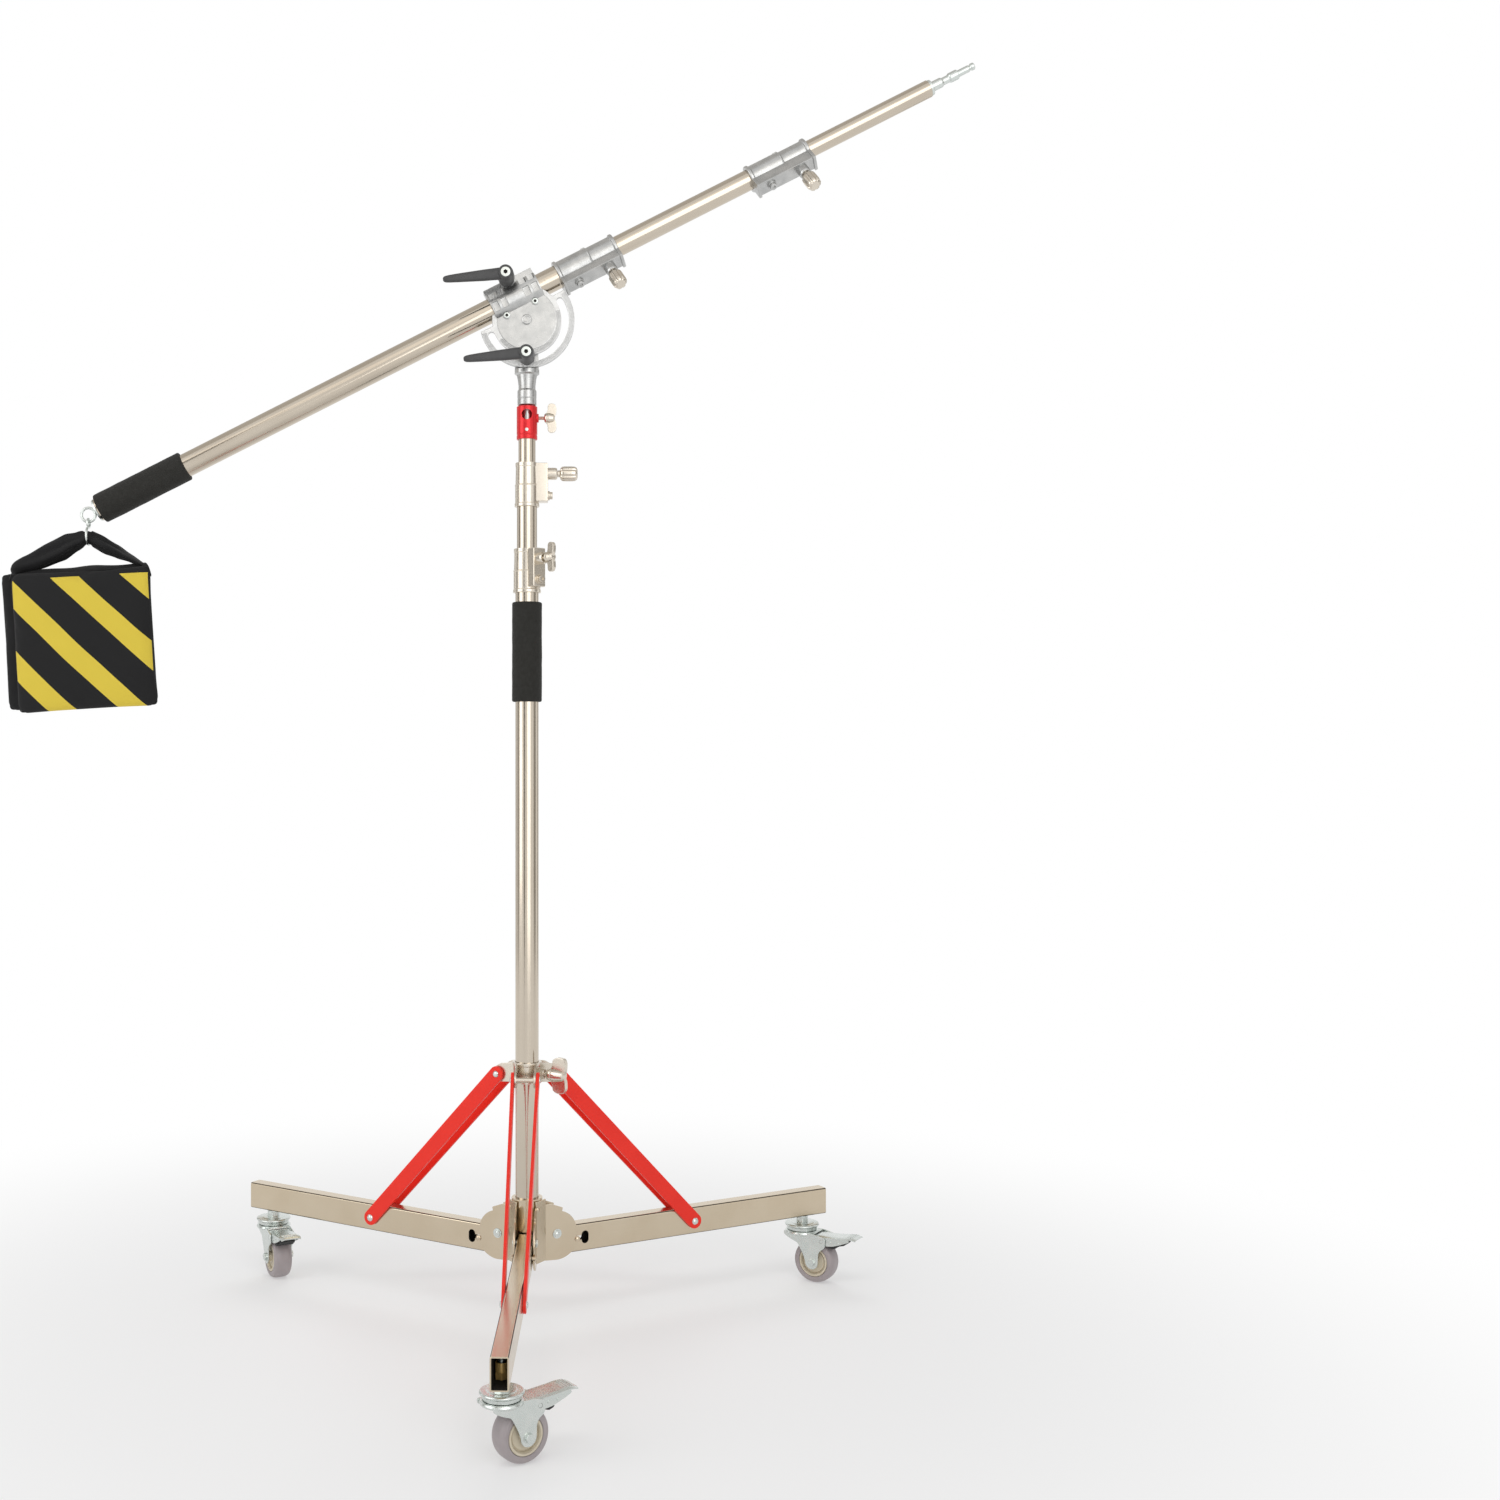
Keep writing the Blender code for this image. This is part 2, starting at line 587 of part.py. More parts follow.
def fluted_knob_shape(tube_radius):
    """A fluted clamp knob along X, on the screw that reaches in to the tube."""
    flutes, depth = 7, 0.0012
    stations = [(0, 0.6), (0.005, 1.0), (0.023, 1.0), (KNOB_LENGTH, 0.6)]
    rings = []
    for out, share in stations:
        ring = []
        for k in range(3 * flutes):
            angle = 2 * math.pi * k / (3 * flutes)
            radius = share * (KNOB_RADIUS - depth * (0.5 - 0.5 * math.cos(flutes * angle)))
            ring.append((KNOB_BACK + out, radius * math.cos(angle), radius * math.sin(angle)))
        rings.append(ring)
    tip = tube_radius + 2 * GAP
    collar = rod(0.0055, (BOSS_OUT + GAP, 0, 0), (KNOB_BACK + 0.001, 0, 0))
    shank = rod(KNOB_SCREW / 2, (tip, 0, 0), (KNOB_BACK + 0.001, 0, 0))
    return joined(loft(rings), collar, shank)


def wing_knob_shape(tip, back, half, screw=KNOB_SCREW, hub=0.0085, reach=0.017):
    """A bowed wing knob along X: screw from its tip, hub from its back, wings up and down Z."""
    end = back + reach
    barrel = turned([(0, back), (hub * 0.8, back), (hub, back + 0.003), (hub, back + reach * 0.5),
                     (hub * 0.75, end - 0.002), (hub * 0.5, end), (0, end)], SEG_SMALL)
    barrel = placed(barrel, (0, 0, 0), (1, 0, 0))
    root, tall = hub * 0.8, half - hub * 0.4
    ear = [(back + reach * 0.15, root * 0.2), (back + reach * 0.2, root), (back + reach * 0.45, tall * 0.75)]
    ear += [(back + reach * 0.55, tall), (back + reach * 0.75, half), (end, half * 0.97)]
    ear += [(end + 0.002, half * 0.8), (back + reach * 0.95, tall * 0.55), (end - 0.002, root * 0.2)]
    thick = hub * 0.38
    up = prism(ear, -thick, thick)
    down = prism([(x, -z) for x, z in ear], -thick, thick)
    return joined(barrel, up, down, rod(screw / 2, (tip, 0, 0), (back + 0.002, 0, 0)))


def collar_shape():
    """The sliding collar: three pairs of ears with their riveted pins, and its screw's boss."""
    top = COLLAR_PIVOT_Z + EAR_BELOW_TOP
    bottom = top - COLLAR_HEIGHT
    outer = COLUMN_RADIUS + SLIDE_GAP + COLLAR_WALL
    sleeve = turned([(0, bottom), (outer, bottom), (outer, top), (0, top)])
    tools = []
    start = math.sqrt(outer ** 2 - EAR_FACE ** 2) - 0.003
    ear_outline = [(start, bottom + 0.002), (LEG_PIVOT_RADIUS, COLLAR_PIVOT_Z - EAR_END)]
    ear_outline += arc(LEG_PIVOT_RADIUS, COLLAR_PIVOT_Z, EAR_END, -75, 60, 5)
    ear_outline += [(LEG_PIVOT_RADIUS - 0.006, top - 0.004), (start, top - 0.001)]
    ear = prism(ear_outline, EAR_FACE - EAR_SHEET, EAR_FACE)
    reach, x = EAR_FACE - EAR_SHEET / 2, LEG_PIVOT_RADIUS
    pin = rod(BOLT_DIAMETER / 2, (x, -reach, COLLAR_PIVOT_Z), (x, reach, COLLAR_PIVOT_Z))
    for azimuth in LEG_AZIMUTHS.values():
        for side in (ear.copy(), mirrored(ear), pin.copy()):
            tools.append(moved(side, turn=(0, 0, azimuth - 90)))
    mid = (bottom + top) / 2
    boss = rod(0.009, (outer - 0.003, 0, mid), (outer + 0.013, 0, mid), SEG_SMALL)
    tools.append(moved(boss, turn=(0, 0, COLLAR_KNOB_TURN - 90)))
    bore = rod(COLUMN_RADIUS + SLIDE_GAP, (0, 0, bottom - 0.01), (0, 0, top + 0.01), SEG)
    screw_hole = rod(0.0043, (0, 0, mid), (outer + 0.02, 0, mid))
    return cut(joined(sleeve, *tools), bore, moved(screw_hole, turn=(0, 0, COLLAR_KNOB_TURN - 90)))


def stem_shape():
    """Caster stem with its bearing race and nuts, up Z from the floor."""
    tip = LEG_BOTTOM + STEM_IN_LEG + 0.004
    stem = STEM_DIAMETER / 2
    race, base = RACE_RADIUS, RACE_BOTTOM
    outline = [(0, tip), (stem, tip), (stem, RACE_TOP), (race - 0.001, RACE_TOP), (race, RACE_TOP - 0.0015)]
    outline += [(race, RACE_TOP - 0.0045), (race - 0.0025, RACE_TOP - 0.0055), (race - 0.004, base), (0, base)]
    washer_low = RACE_TOP + STEM_NUT_HEIGHT - 0.0005
    inside = LEG_BOTTOM + LEG_WALL + GAP
    return joined(
        turned(outline, SEG_WHEEL),
        rod(0.0110, (0, 0, RACE_TOP - 0.001), (0, 0, RACE_TOP + STEM_NUT_HEIGHT), 6),
        rod(0.0095, (0, 0, washer_low), (0, 0, LEG_BOTTOM - GAP), SEG_PIN),
        rod(0.0092, (0, 0, inside), (0, 0, inside + 0.010), 6),
    )


def fork_shape():
    """Swivel fork over the wheel, with its riveted axle. X is the trail."""
    axle_z = WHEEL_RADIUS
    inner = WHEEL_WIDTH / 2 + FORK_WHEEL_GAP
    outer = inner + FORK_SHEET
    cap_low = FORK_TOP - FORK_CAP
    axle_round = 0.012
    side = [(-0.025, FORK_TOP - 0.001), (-0.025, cap_low - 0.002), (-0.012, cap_low - 0.009),
            (0.002, axle_z + 0.030), (0.011, axle_z + 0.014)]
    side += arc(CASTER_TRAIL, axle_z, axle_round, 175, 360, 5)
    side += [(CASTER_TRAIL + 0.0135, axle_z + 0.020), (PEDAL_PIVOT + 0.007, FORK_TOP - 0.022)]
    side += [(PEDAL_PIVOT + 0.0085, FORK_TOP - 0.006), (CASTER_TRAIL + 0.006, FORK_TOP - 0.001)]
    plates = [prism(side, inner, outer), prism(side, -outer, -inner)]
    cap = block((-0.0253, -outer + 0.0005, cap_low), (0.030, outer - 0.0005, FORK_TOP - 0.0015))
    race = rod(RACE_RADIUS - 0.003, (0, 0, cap_low + 0.001), (0, 0, FORK_TOP), SEG_WHEEL)
    reach = outer + AXLE_HEAD
    heads = [rod(0.0075, (CASTER_TRAIL, s * (outer - GAP), axle_z), (CASTER_TRAIL, s * reach, axle_z), 6)
             for s in (-1, 1)]
    axle = rod(AXLE_DIAMETER / 2, (CASTER_TRAIL, -outer, axle_z), (CASTER_TRAIL, outer, axle_z))
    pivot = rod(0.003 + GAP, (PEDAL_PIVOT, -outer * 2, PEDAL_PIVOT_Z), (PEDAL_PIVOT, outer * 2, PEDAL_PIVOT_Z))
    return cut(joined(cap, *plates, race, axle, *heads), pivot)


def pedal_shape():
    """Stamped brake pedal about its pin: a bowed plate with two side flanges."""
    half = WHEEL_WIDTH / 2 + FORK_WHEEL_GAP - SLIDE_GAP
    top = FORK_TOP - 0.003 - PEDAL_PIVOT_Z
    start, reach = -0.0125, PEDAL_REACH - PEDAL_PIVOT
    upper = [(start, top - 0.001), (0.010, top), (0.030, top + 0.0015), (0.050, top + 0.004), (reach, top + 0.002)]
    lower = [(x, z - PEDAL_SHEET) for x, z in reversed(upper)]
    plate = prism(upper + lower, -half, half)
    flange = [(start + 0.002, top - 0.0022), (-0.007, -0.004), (0.004, -0.007), (0.018, -0.006),
              (0.040, top - 0.008), (reach - 0.006, top - 0.001), (0.048, top + 0.0025), (0.012, top - 0.001)]
    sheet = FORK_SHEET * 0.7
    sides = [prism(flange, half - sheet, half - 0.0002), prism(flange, -half + 0.0002, -half + sheet)]
    reach_y = WHEEL_WIDTH / 2 + FORK_WHEEL_GAP + FORK_SHEET
    return joined(plate, *sides, rod(0.003, (0, -reach_y, 0), (0, reach_y, 0)))


def tyre_shape():
    """Soft tread about Y."""
    r, w, inner = WHEEL_RADIUS, WHEEL_WIDTH / 2, CORE_DIAMETER / 2 + GAP
    outline = [(inner, -w), (r - 0.0045, -w), (r, -w + 0.0055)]
    outline += [(x, -y) for x, y in reversed(outline)]
    return placed(turned(outline, ring=True), (0, 0, 0), (0, 1, 0))


def core_shape():
    """Wheel centre about Y, with a recessed web and a hub that spans the fork."""
    r, w = CORE_DIAMETER / 2, WHEEL_WIDTH / 2
    hub = w + FORK_WHEEL_GAP - TURN_GAP
    outline = [(AXLE_DIAMETER / 2 + GAP, -hub), (0.008, -hub), (0.009, -w + 0.004), (r - 0.004, -w + 0.004),
               (r, -w + 0.001)]
    outline += [(x, -y) for x, y in reversed(outline)]
    return placed(turned(outline, SEG_WHEEL, ring=True), (0, 0, 0), (0, 1, 0))


def socket_shape():
    """Red socket on the top tube: stepped bore, front window and the boss of its knob."""
    radius = COLUMN_RADIUS_3 + GAP + SOCKET_WALL
    outer = turned([(0, 0), (radius, 0), (radius, SOCKET_HEIGHT), (0, SOCKET_HEIGHT)], SEG_ROUND)
    knob_z = SOCKET_HEIGHT - 0.018
    boss = rod(0.007, (radius - 0.003, 0, knob_z), (radius + 0.0022, 0, knob_z), SEG_SMALL)
    rivet = rod(0.0025, (0, 0.0015 - radius, 0.014), (0, -radius - 0.0009, 0.014))
    bore = turned([(0, -0.01), (COLUMN_RADIUS_3 + GAP, -0.01), (COLUMN_RADIUS_3 + GAP, SOCKET_SEAT),
                   (SPIGOT_DIAMETER / 2 + SPIGOT_GAP, SOCKET_SEAT),
                   (SPIGOT_DIAMETER / 2 + SPIGOT_GAP, SOCKET_HEIGHT + 0.01), (0, SOCKET_HEIGHT + 0.01)], SEG_ROUND)
    window_z = SOCKET_HEIGHT - SOCKET_WINDOW_DROP
    return cut(
        joined(outer, boss, rivet), bore,
        rod(SOCKET_WINDOW / 2, (0, -0.03, window_z), (0, -0.004, window_z), SEG_SMALL),
        rod(KNOB_SCREW / 2 + GAP, (0, 0, knob_z), (0.03, 0, knob_z)),
    )


def yoke_shape():
    """Spigot, neck and upright plate, with the pivot at the origin."""
    low = -PIVOT_RISE
    spigot = SPIGOT_DIAMETER / 2
    spigot_low = low - SOCKET_HEIGHT + SOCKET_SEAT + 2 * GAP
    flange_low, flange_top = low + 0.053, low + 0.060
    outline = [(0, spigot_low), (spigot, spigot_low), (spigot, low + 0.0015), (NECK_SLEEVE, low + 0.0015)]
    outline += [(NECK_SLEEVE, low + 0.026), (0.0135, low + 0.028), (0.0135, low + 0.034), (0.0165, flange_low - 0.002)]
    outline += [(NECK_FLANGE, flange_low), (NECK_FLANGE, flange_top), (0, flange_top)]
    half = YOKE_SHEET / 2
    foot_z = flange_top - 0.002
    plate = [(-YOKE_FOOT + 0.0005, foot_z), (YOKE_FOOT - 0.0005, foot_z), (YOKE_FOOT - 0.001, -SLOT_ORBIT)]
    plate += arc(0, 0, YOKE_BOSS, -8, 188, 9) + [(-YOKE_FOOT + 0.001, -SLOT_ORBIT)]
    bolt = TILT_BOLT / 2 + GAP
    return cut(
        joined(turned(outline, SEG_ROUND), prism(plate, -half, half)),
        rod(PIVOT_BOLT / 2 + GAP, (0, -0.02, 0), (0, 0.02, 0), SEG_SMALL),
        rod(bolt, (0, -0.02, -SLOT_ORBIT), (0, 0.02, -SLOT_ORBIT), SEG_SMALL),
    )


def jaw_half(split, outward):
    """Half of the boom clamp on one side of the split, ribbed, with its bolting flange on top."""
    back, front = -JAW_BACK, JAW_FRONT
    side = outward
    shell = arc(0, 0, JAW_OUTER, -90, 48, 8)
    flange_out = JAW_FLANGE_SHEET
    shell += [(flange_out, JAW_OUTER * 0.80), (flange_out, JAW_FLANGE), (0, JAW_FLANGE)]
    profile = prism(shell, back, front)
    profile.transform(Matrix.Rotation(math.radians(-90), 4, "Z"))
    body = profile if side < 0 else mirrored(profile)
    body.transform(Matrix.Translation((0, 0, BOOM_LIFT)))
    away = side * split
    keep_low, keep_high = sorted((away, side * 0.05))
    keep = block((back - 0.001, keep_low, -0.01), (front + 0.001, keep_high, 0.12))
    body = combined(body, [keep], "INTERSECT")
    pockets = []
    ribs = 0.0035
    for low, high in ((back + 0.003, -0.0285), (-0.025, -0.0145), (0.0145, 0.0265), (0.030, front - 0.003)):
        for bottom, top, depth in ((-0.012, 0.004, 0.0030), (0.010, 0.024, 0.0050)):
            face = side * (JAW_OUTER + 0.006)
            inner = side * (BOOM_RADIUS + JAW_WALL - depth if bottom < 0 else JAW_OUTER * 0.62)
            y_low, y_high = sorted((face, inner))
            pockets.append(block((low, y_low, BOOM_LIFT + bottom), (high - ribs * 0.1, y_high, BOOM_LIFT + top)))
    return cut(body, *pockets)


def quadrant_shape():
    """Front casting: slotted quadrant, raised disc and the front half of the boom clamp."""
    front, back = QUADRANT_FRONT, QUADRANT_BACK
    end = SLOT_HALF_SPAN + 9.0
    inner = SLOT_ORBIT - SLOT_WIDTH / 2
    outline = arc(0, 0, QUADRANT_RADIUS, -90 - end, -90 + end, 28)
    outline += [(inner * math.cos(math.radians(-90 + end + 4)), inner * math.sin(math.radians(-90 + end + 4)))]
    outline += arc(0, 0, inner, 25, 155, 8)
    outline += [(inner * math.cos(math.radians(-90 - end - 4)), inner * math.sin(math.radians(-90 - end - 4)))]
    plate = prism(outline, front, back)
    slot_low, slot_high = SLOT_ORBIT - SLOT_WIDTH / 2, SLOT_ORBIT + SLOT_WIDTH / 2
    first, last = -90 - SLOT_HALF_SPAN, -90 + SLOT_HALF_SPAN
    slot = arc(0, 0, slot_high, first, last, 22)
    tip = math.radians(last)
    slot += arc(SLOT_ORBIT * math.cos(tip), SLOT_ORBIT * math.sin(tip), SLOT_WIDTH / 2, last, last + 180, 6)[1:-1]
    slot += arc(0, 0, slot_low, last, first, 22)
    tip = math.radians(first)
    slot += arc(SLOT_ORBIT * math.cos(tip), SLOT_ORBIT * math.sin(tip), SLOT_WIDTH / 2, first + 180, first + 360, 6)[1:-1]
    disc = prism(arc(0, 0, QUADRANT_DISC, 0, 345, 23), front - 0.0015, front + 0.002)
    web = block((-JAW_BACK, front, BOOM_LIFT - JAW_OUTER - 0.012), (JAW_FRONT, back, BOOM_LIFT - BOOM_RADIUS + 0.006))
    boss = rod(0.0125, (0, -JAW_FLANGE_SHEET - 0.006, JAW_BOLT_Z), (0, -JAW_SPLIT, JAW_BOLT_Z), SEG_SMALL)
    bore = rod(BOOM_RADIUS + SLIDE_GAP, (-0.1, 0, BOOM_LIFT), (0.1, 0, BOOM_LIFT), SEG)
    holes = [rod(PIVOT_BOLT / 2 + GAP, (0, -0.05, 0), (0, 0.02, 0), SEG_SMALL)]
    holes.append(rod(TILT_BOLT / 2 + GAP, (0, -0.05, JAW_BOLT_Z), (0, 0.02, JAW_BOLT_Z), SEG_SMALL))
    seat = (0, LEVER_SEAT + 0.0005, JAW_BOLT_Z)
    holes.append(rod(LEVER_HUB + 2 * SLIDE_GAP, (0, -0.06, JAW_BOLT_Z), seat, SEG_WHEEL))
    for x in JAW_SCREWS:
        holes.append(rod(0.0025 + GAP, (x, -0.05, JAW_SCREW_Z), (x, 0.01, JAW_SCREW_Z)))
        holes.append(rod(0.0058, (x, -0.05, JAW_SCREW_Z), (x, front + 0.0002, JAW_SCREW_Z), SEG_SMALL))
    under = block((-2 * JAW_BACK, back, -0.001), (2 * JAW_FRONT, 0.05, BOOM_LIFT))
    half = cut(jaw_half(JAW_SPLIT, -1), under)
    body = joined(plate, disc, web, boss, half)
    return cut(body, prism(slot, front - 0.01, back + 0.01), bore, *holes)


def jaw_shape():
    """Rear half of the boom clamp, with its lower flange and the two screws riveted in it."""
    foot_low = YOKE_BOSS + 0.0012
    foot = block((-JAW_BACK + 0.0005, QUADRANT_BACK + GAP, foot_low),
                 (JAW_FRONT - 0.0005, 0.016, BOOM_LIFT - BOOM_RADIUS + 0.004))
    boss = rod(0.0125, (0, JAW_SPLIT, JAW_BOLT_Z), (0, JAW_FLANGE_SHEET + 0.004, JAW_BOLT_Z), SEG_SMALL)
    bore = rod(BOOM_RADIUS + SLIDE_GAP, (-0.1, 0, BOOM_LIFT), (0.1, 0, BOOM_LIFT), SEG)
    hole = rod(TILT_BOLT / 2 + GAP, (0, -0.01, JAW_BOLT_Z), (0, 0.05, JAW_BOLT_Z), SEG_SMALL)
    body = cut(joined(foot, boss, jaw_half(JAW_SPLIT, 1)), bore, hole)
    seat, inside = QUADRANT_FRONT - GAP, QUADRANT_BACK + 0.002
    screws = []
    for x in JAW_SCREWS:
        screws.append(rod(0.0025, (x, seat - 0.001, JAW_SCREW_Z), (x, inside, JAW_SCREW_Z)))
        screws.append(rod(0.005, (x, seat, JAW_SCREW_Z), (x, seat - 0.003, JAW_SCREW_Z), SEG_PIN, 0.0008))
    return joined(body, *screws)


def cap_screw(shaft, y_front, y_back, z, nut=0.0):
    """A round headed screw along Y with a hex socket, and a nut behind if it has one."""
    cap = HEAD_BOLT_CAP / 2
    body = joined(
        rod(cap, (0, y_front + 0.004, z), (0, y_front, z), SEG_SMALL, 0.0008),
        rod(shaft / 2, (0, y_front + 0.002, z), (0, y_back, z)),
    )
    if nut:
        body = joined(body, rod(nut, (0, y_back - 0.009, z), (0, y_back - 0.001, z), 6))
    return cut(body, rod(0.0046, (0, y_front - 0.01, z), (0, y_front + 0.0022, z), 6))


def pivot_bolt_shape():
    """The bolt that the boom tilts on, with its head in front and its nut behind."""
    face = QUADRANT_FRONT - 0.0015 - GAP
    back = YOKE_SHEET / 2 + GAP
    return joined(
        rod(0.008, (0, face, 0), (0, face - 0.0035, 0), SEG_SMALL, 0.0008),
        rod(PIVOT_BOLT / 2, (0, face - 0.002, 0), (0, back + 0.004, 0)),
        rod(0.0095, (0, back, 0), (0, back + 0.008, 0), 6),
    )


def jaw_bolt_shape():
    """The long screw of the clamp's lever, with its nut behind the rear half."""
    rear = JAW_FLANGE_SHEET + 0.004 + GAP
    bolt = cap_screw(TILT_BOLT, LEVER_SEAT - LEVER_HUB_HEIGHT + 0.001, rear + 0.009, JAW_BOLT_Z)
    return joined(bolt, rod(0.0095, (0, rear, JAW_BOLT_Z), (0, rear + 0.007, JAW_BOLT_Z), 6))


def lever_shape():
    """Clamp lever about Y: tapered hub towards -Y and a tapered arm towards -X."""
    hub = LEVER_HUB
    tall = LEVER_HUB_HEIGHT
    outline = [(0, 0), (hub * 0.85, 0), (hub, tall * 0.25), (hub * 0.92, tall * 0.8), (hub * 0.8, tall), (0, tall)]
    body = placed(turned(outline, SEG_WHEEL), (0, 0, 0), (0, -1, 0))
    stations = [(0.004, 0.0085, 0.0075, 0.80), (0.030, 0.0090, 0.0060, 0.80), (0.070, 0.0070, 0.0050, 0.84),
                (0.094, 0.0052, 0.0045, 0.86), (LEVER_REACH, 0.0030, 0.0030, 0.86)]
    rings = []
    for out, wide, thick, share in stations:
        ring = []
        for k in range(8):
            angle = 2 * math.pi * (k + 0.5) / 8
            ring.append((-out, -tall * share + thick * math.sin(angle), wide * math.cos(angle)))
        rings.append(ring)
    arm = loft(rings)
    arm.transform(Matrix.Rotation(math.radians(-LEVER_LEAN), 4, "Y"))
    head = HEAD_BOLT_CAP / 2 + SLIDE_GAP
    return cut(
        joined(body, arm),
        rod(head, (0, -tall + 0.0054, 0), (0, -tall - 0.01, 0), SEG_SMALL),
        rod(TILT_BOLT / 2 + SLIDE_GAP, (0, -tall - 0.01, 0), (0, 0.01, 0), SEG_SMALL),
    )


def stud_shape():
    """Boom end plug with its 16 mm stud and thin tip, up Z from the tube's end."""
    plug = BOOM_RADIUS_3 - TUBE_WALL - GAP
    stud, tip = SPIGOT_DIAMETER / 2, STUD_TIP_DIAMETER / 2
    base = STUD_COLLAR + GAP
    end = base + STUD_LENGTH
    outline = [(0, -0.03), (plug, -0.03), (plug, GAP), (BOOM_RADIUS_3 - 0.0012, GAP)]
    outline += [(BOOM_RADIUS_3 - 0.0012, base), (stud, base), (stud, end - 0.030), (stud - 0.0018, end - 0.027)]
    outline += [(stud - 0.0018, end - 0.017), (stud, end - 0.014), (stud, end), (tip, end)]
    outline += [(tip, end + STUD_TIP - 0.008), (tip - 0.001, end + STUD_TIP - 0.007)]
    outline += [(tip + 0.0005, end + STUD_TIP - 0.0045), (tip, end + STUD_TIP), (0, end + STUD_TIP)]
    return turned(outline, SEG_WHEEL)


def eye_shape():
    """End plug of the boom with its eye bolt, up Z away from the tube's end."""
    inner = BOOM_RADIUS - TUBE_WALL - GAP
    plug = turned([(0, -0.020), (inner, -0.020), (inner, GAP), (BOOM_RADIUS, GAP),
                   (BOOM_RADIUS - 0.001, 0.0035), (0, 0.0035)], SEG_WHEEL)
    bm = bmesh.new()
    rings, sides = 18, 6
    loops = []
    for i in range(rings):
        a = 2 * math.pi * i / rings
        turns = [2 * math.pi * k / sides for k in range(sides)]
        out = [EYE_RADIUS + EYE_WIRE / 2 * math.cos(t) for t in turns]
        loops.append([bm.verts.new((o * math.cos(a), EYE_WIRE / 2 * math.sin(t), EYE_BACK + o * math.sin(a)))
                      for o, t in zip(out, turns)])
    for here, there in zip(loops, loops[1:] + loops[:1]):
        for k in range(sides):
            bm.faces.new((here[k], here[(k + 1) % sides], there[(k + 1) % sides], there[k]))
    ring = finished(bm)
    shank = rod(0.0039, (0, 0, -0.010), (0, 0, EYE_BACK - EYE_RADIUS))
    return joined(plug, ring, shank)


def hook_shape():
    """S hook in the YZ plane, hung on the eye's lower wire, and the height of its lower loop.

    The origin is the eye's middle.
    """
    wire = HOOK_WIRE / 2
    top = -EYE_RADIUS + EYE_WIRE / 2 + GAP + wire
    up = top - HOOK_TOP_LOOP
    join = up - HOOK_TOP_LOOP
    low = join - HOOK_LOW_LOOP
    path = arc(0, up, HOOK_TOP_LOOP, 215, -90, 12) + arc(0, low, HOOK_LOW_LOOP, 90, 340, 14)[1:]
    return swept([(0, y, z) for y, z in path], wire, 6), low


def pouch(width, height, thickness):
    """One filled bag half, upright in the XZ plane, crowned with drawn-in edges."""
    rings = []
    levels = 7
    for i in range(levels):
        v = -1 + 2 * i / (levels - 1)
        swell = (1 - abs(v) ** 3) ** 0.6
        half_y = 0.0022 + (thickness / 2 - 0.0022) * swell
        half_x = width / 2 * (0.985 + 0.015 * (1 - swell))
        ring = []
        for k in range(12):
            a = 2 * math.pi * (k + 0.5) / 12
            c, s = math.cos(a), math.sin(a)
            x = half_x * math.copysign(abs(c) ** 0.5, c)
            y = half_y * math.copysign(abs(s) ** 0.9, s)
            ring.append((x, y, v * height / 2))
        rings.append(ring)
    return loft(rings)


def bag_shape():
    """Saddle bag: two pouches, the web between them and the carrying strap through the hook.

    The origin is the middle of the hook's lower loop.
    """
    floor = HOOK_WIRE / 2 - HOOK_LOW_LOOP
    centre = floor - BAG_DROP
    front = moved(pouch(BAG_WIDTH, BAG_HEIGHT, BAG_THICKNESS), turn=(0, -BAG_ROLL, 0))
    rear = front.copy()
    front.transform(Matrix.Translation((BAG_SHIFT + BAG_SKEW, -BAG_SPREAD, centre)))
    rear.transform(Matrix.Translation((BAG_SHIFT - BAG_SKEW, BAG_SPREAD, centre + 0.006)))
    half = BAG_WIDTH / 2 - 0.004
    rise = math.tan(math.radians(BAG_ROLL)) * half
    web_top = centre + BAG_HEIGHT / 2
    rings = []
    for i in range(7):
        s = -1 + 2 * i / 6
        x = BAG_SHIFT - s * BAG_SKEW
        y = s * BAG_SPREAD
        z = web_top - 0.014 + 0.020 * (1 - s * s) + 0.003 * (1 + s)
        low, high = z - BAG_CLOTH / 2, z + BAG_CLOTH / 2
        rings.append([(x - half, y, low - rise), (x + half, y, low + rise),
                      (x + half, y, high + rise), (x - half, y, high - rise)])
    web = loft(rings)
    stations = []
    seat = floor + STRAP_THICKNESS / 2 + GAP
    left_z, right_z = web_top - rise + 0.004, web_top + rise + 0.004
    left_x, right_x = BAG_SHIFT - half + 0.003, BAG_SHIFT + half - 0.003
    for share, wide, thick in ((0.0, 0.024, 0.0030), (0.3, 0.022, 0.0060), (0.62, 0.016, 0.0085), (0.86, 0.0105, 0.0078)):
        lift = math.sin(share * math.pi / 2) ** 1.25
        stations.append((left_x * (1 - share), left_z + (seat - left_z) * lift, wide, thick))
    stations.append((0.0, seat, 0.0088, STRAP_THICKNESS / 2))
    for share, wide, thick in ((0.86, 0.0105, 0.0078), (0.62, 0.016, 0.0085), (0.3, 0.022, 0.0060), (0.0, 0.024, 0.0030)):
        lift = math.sin(share * math.pi / 2) ** 1.25
        stations.append((right_x * (1 - share), right_z + (seat - right_z) * lift, wide, thick))
    rings = []
    for x, z, wide, thick in stations:
        turns = [2 * math.pi * k / 8 for k in range(8)]
        rings.append([(x, wide * math.cos(t), z + thick * math.sin(t)) for t in turns])
    return joined(front, rear, web, loft(rings))


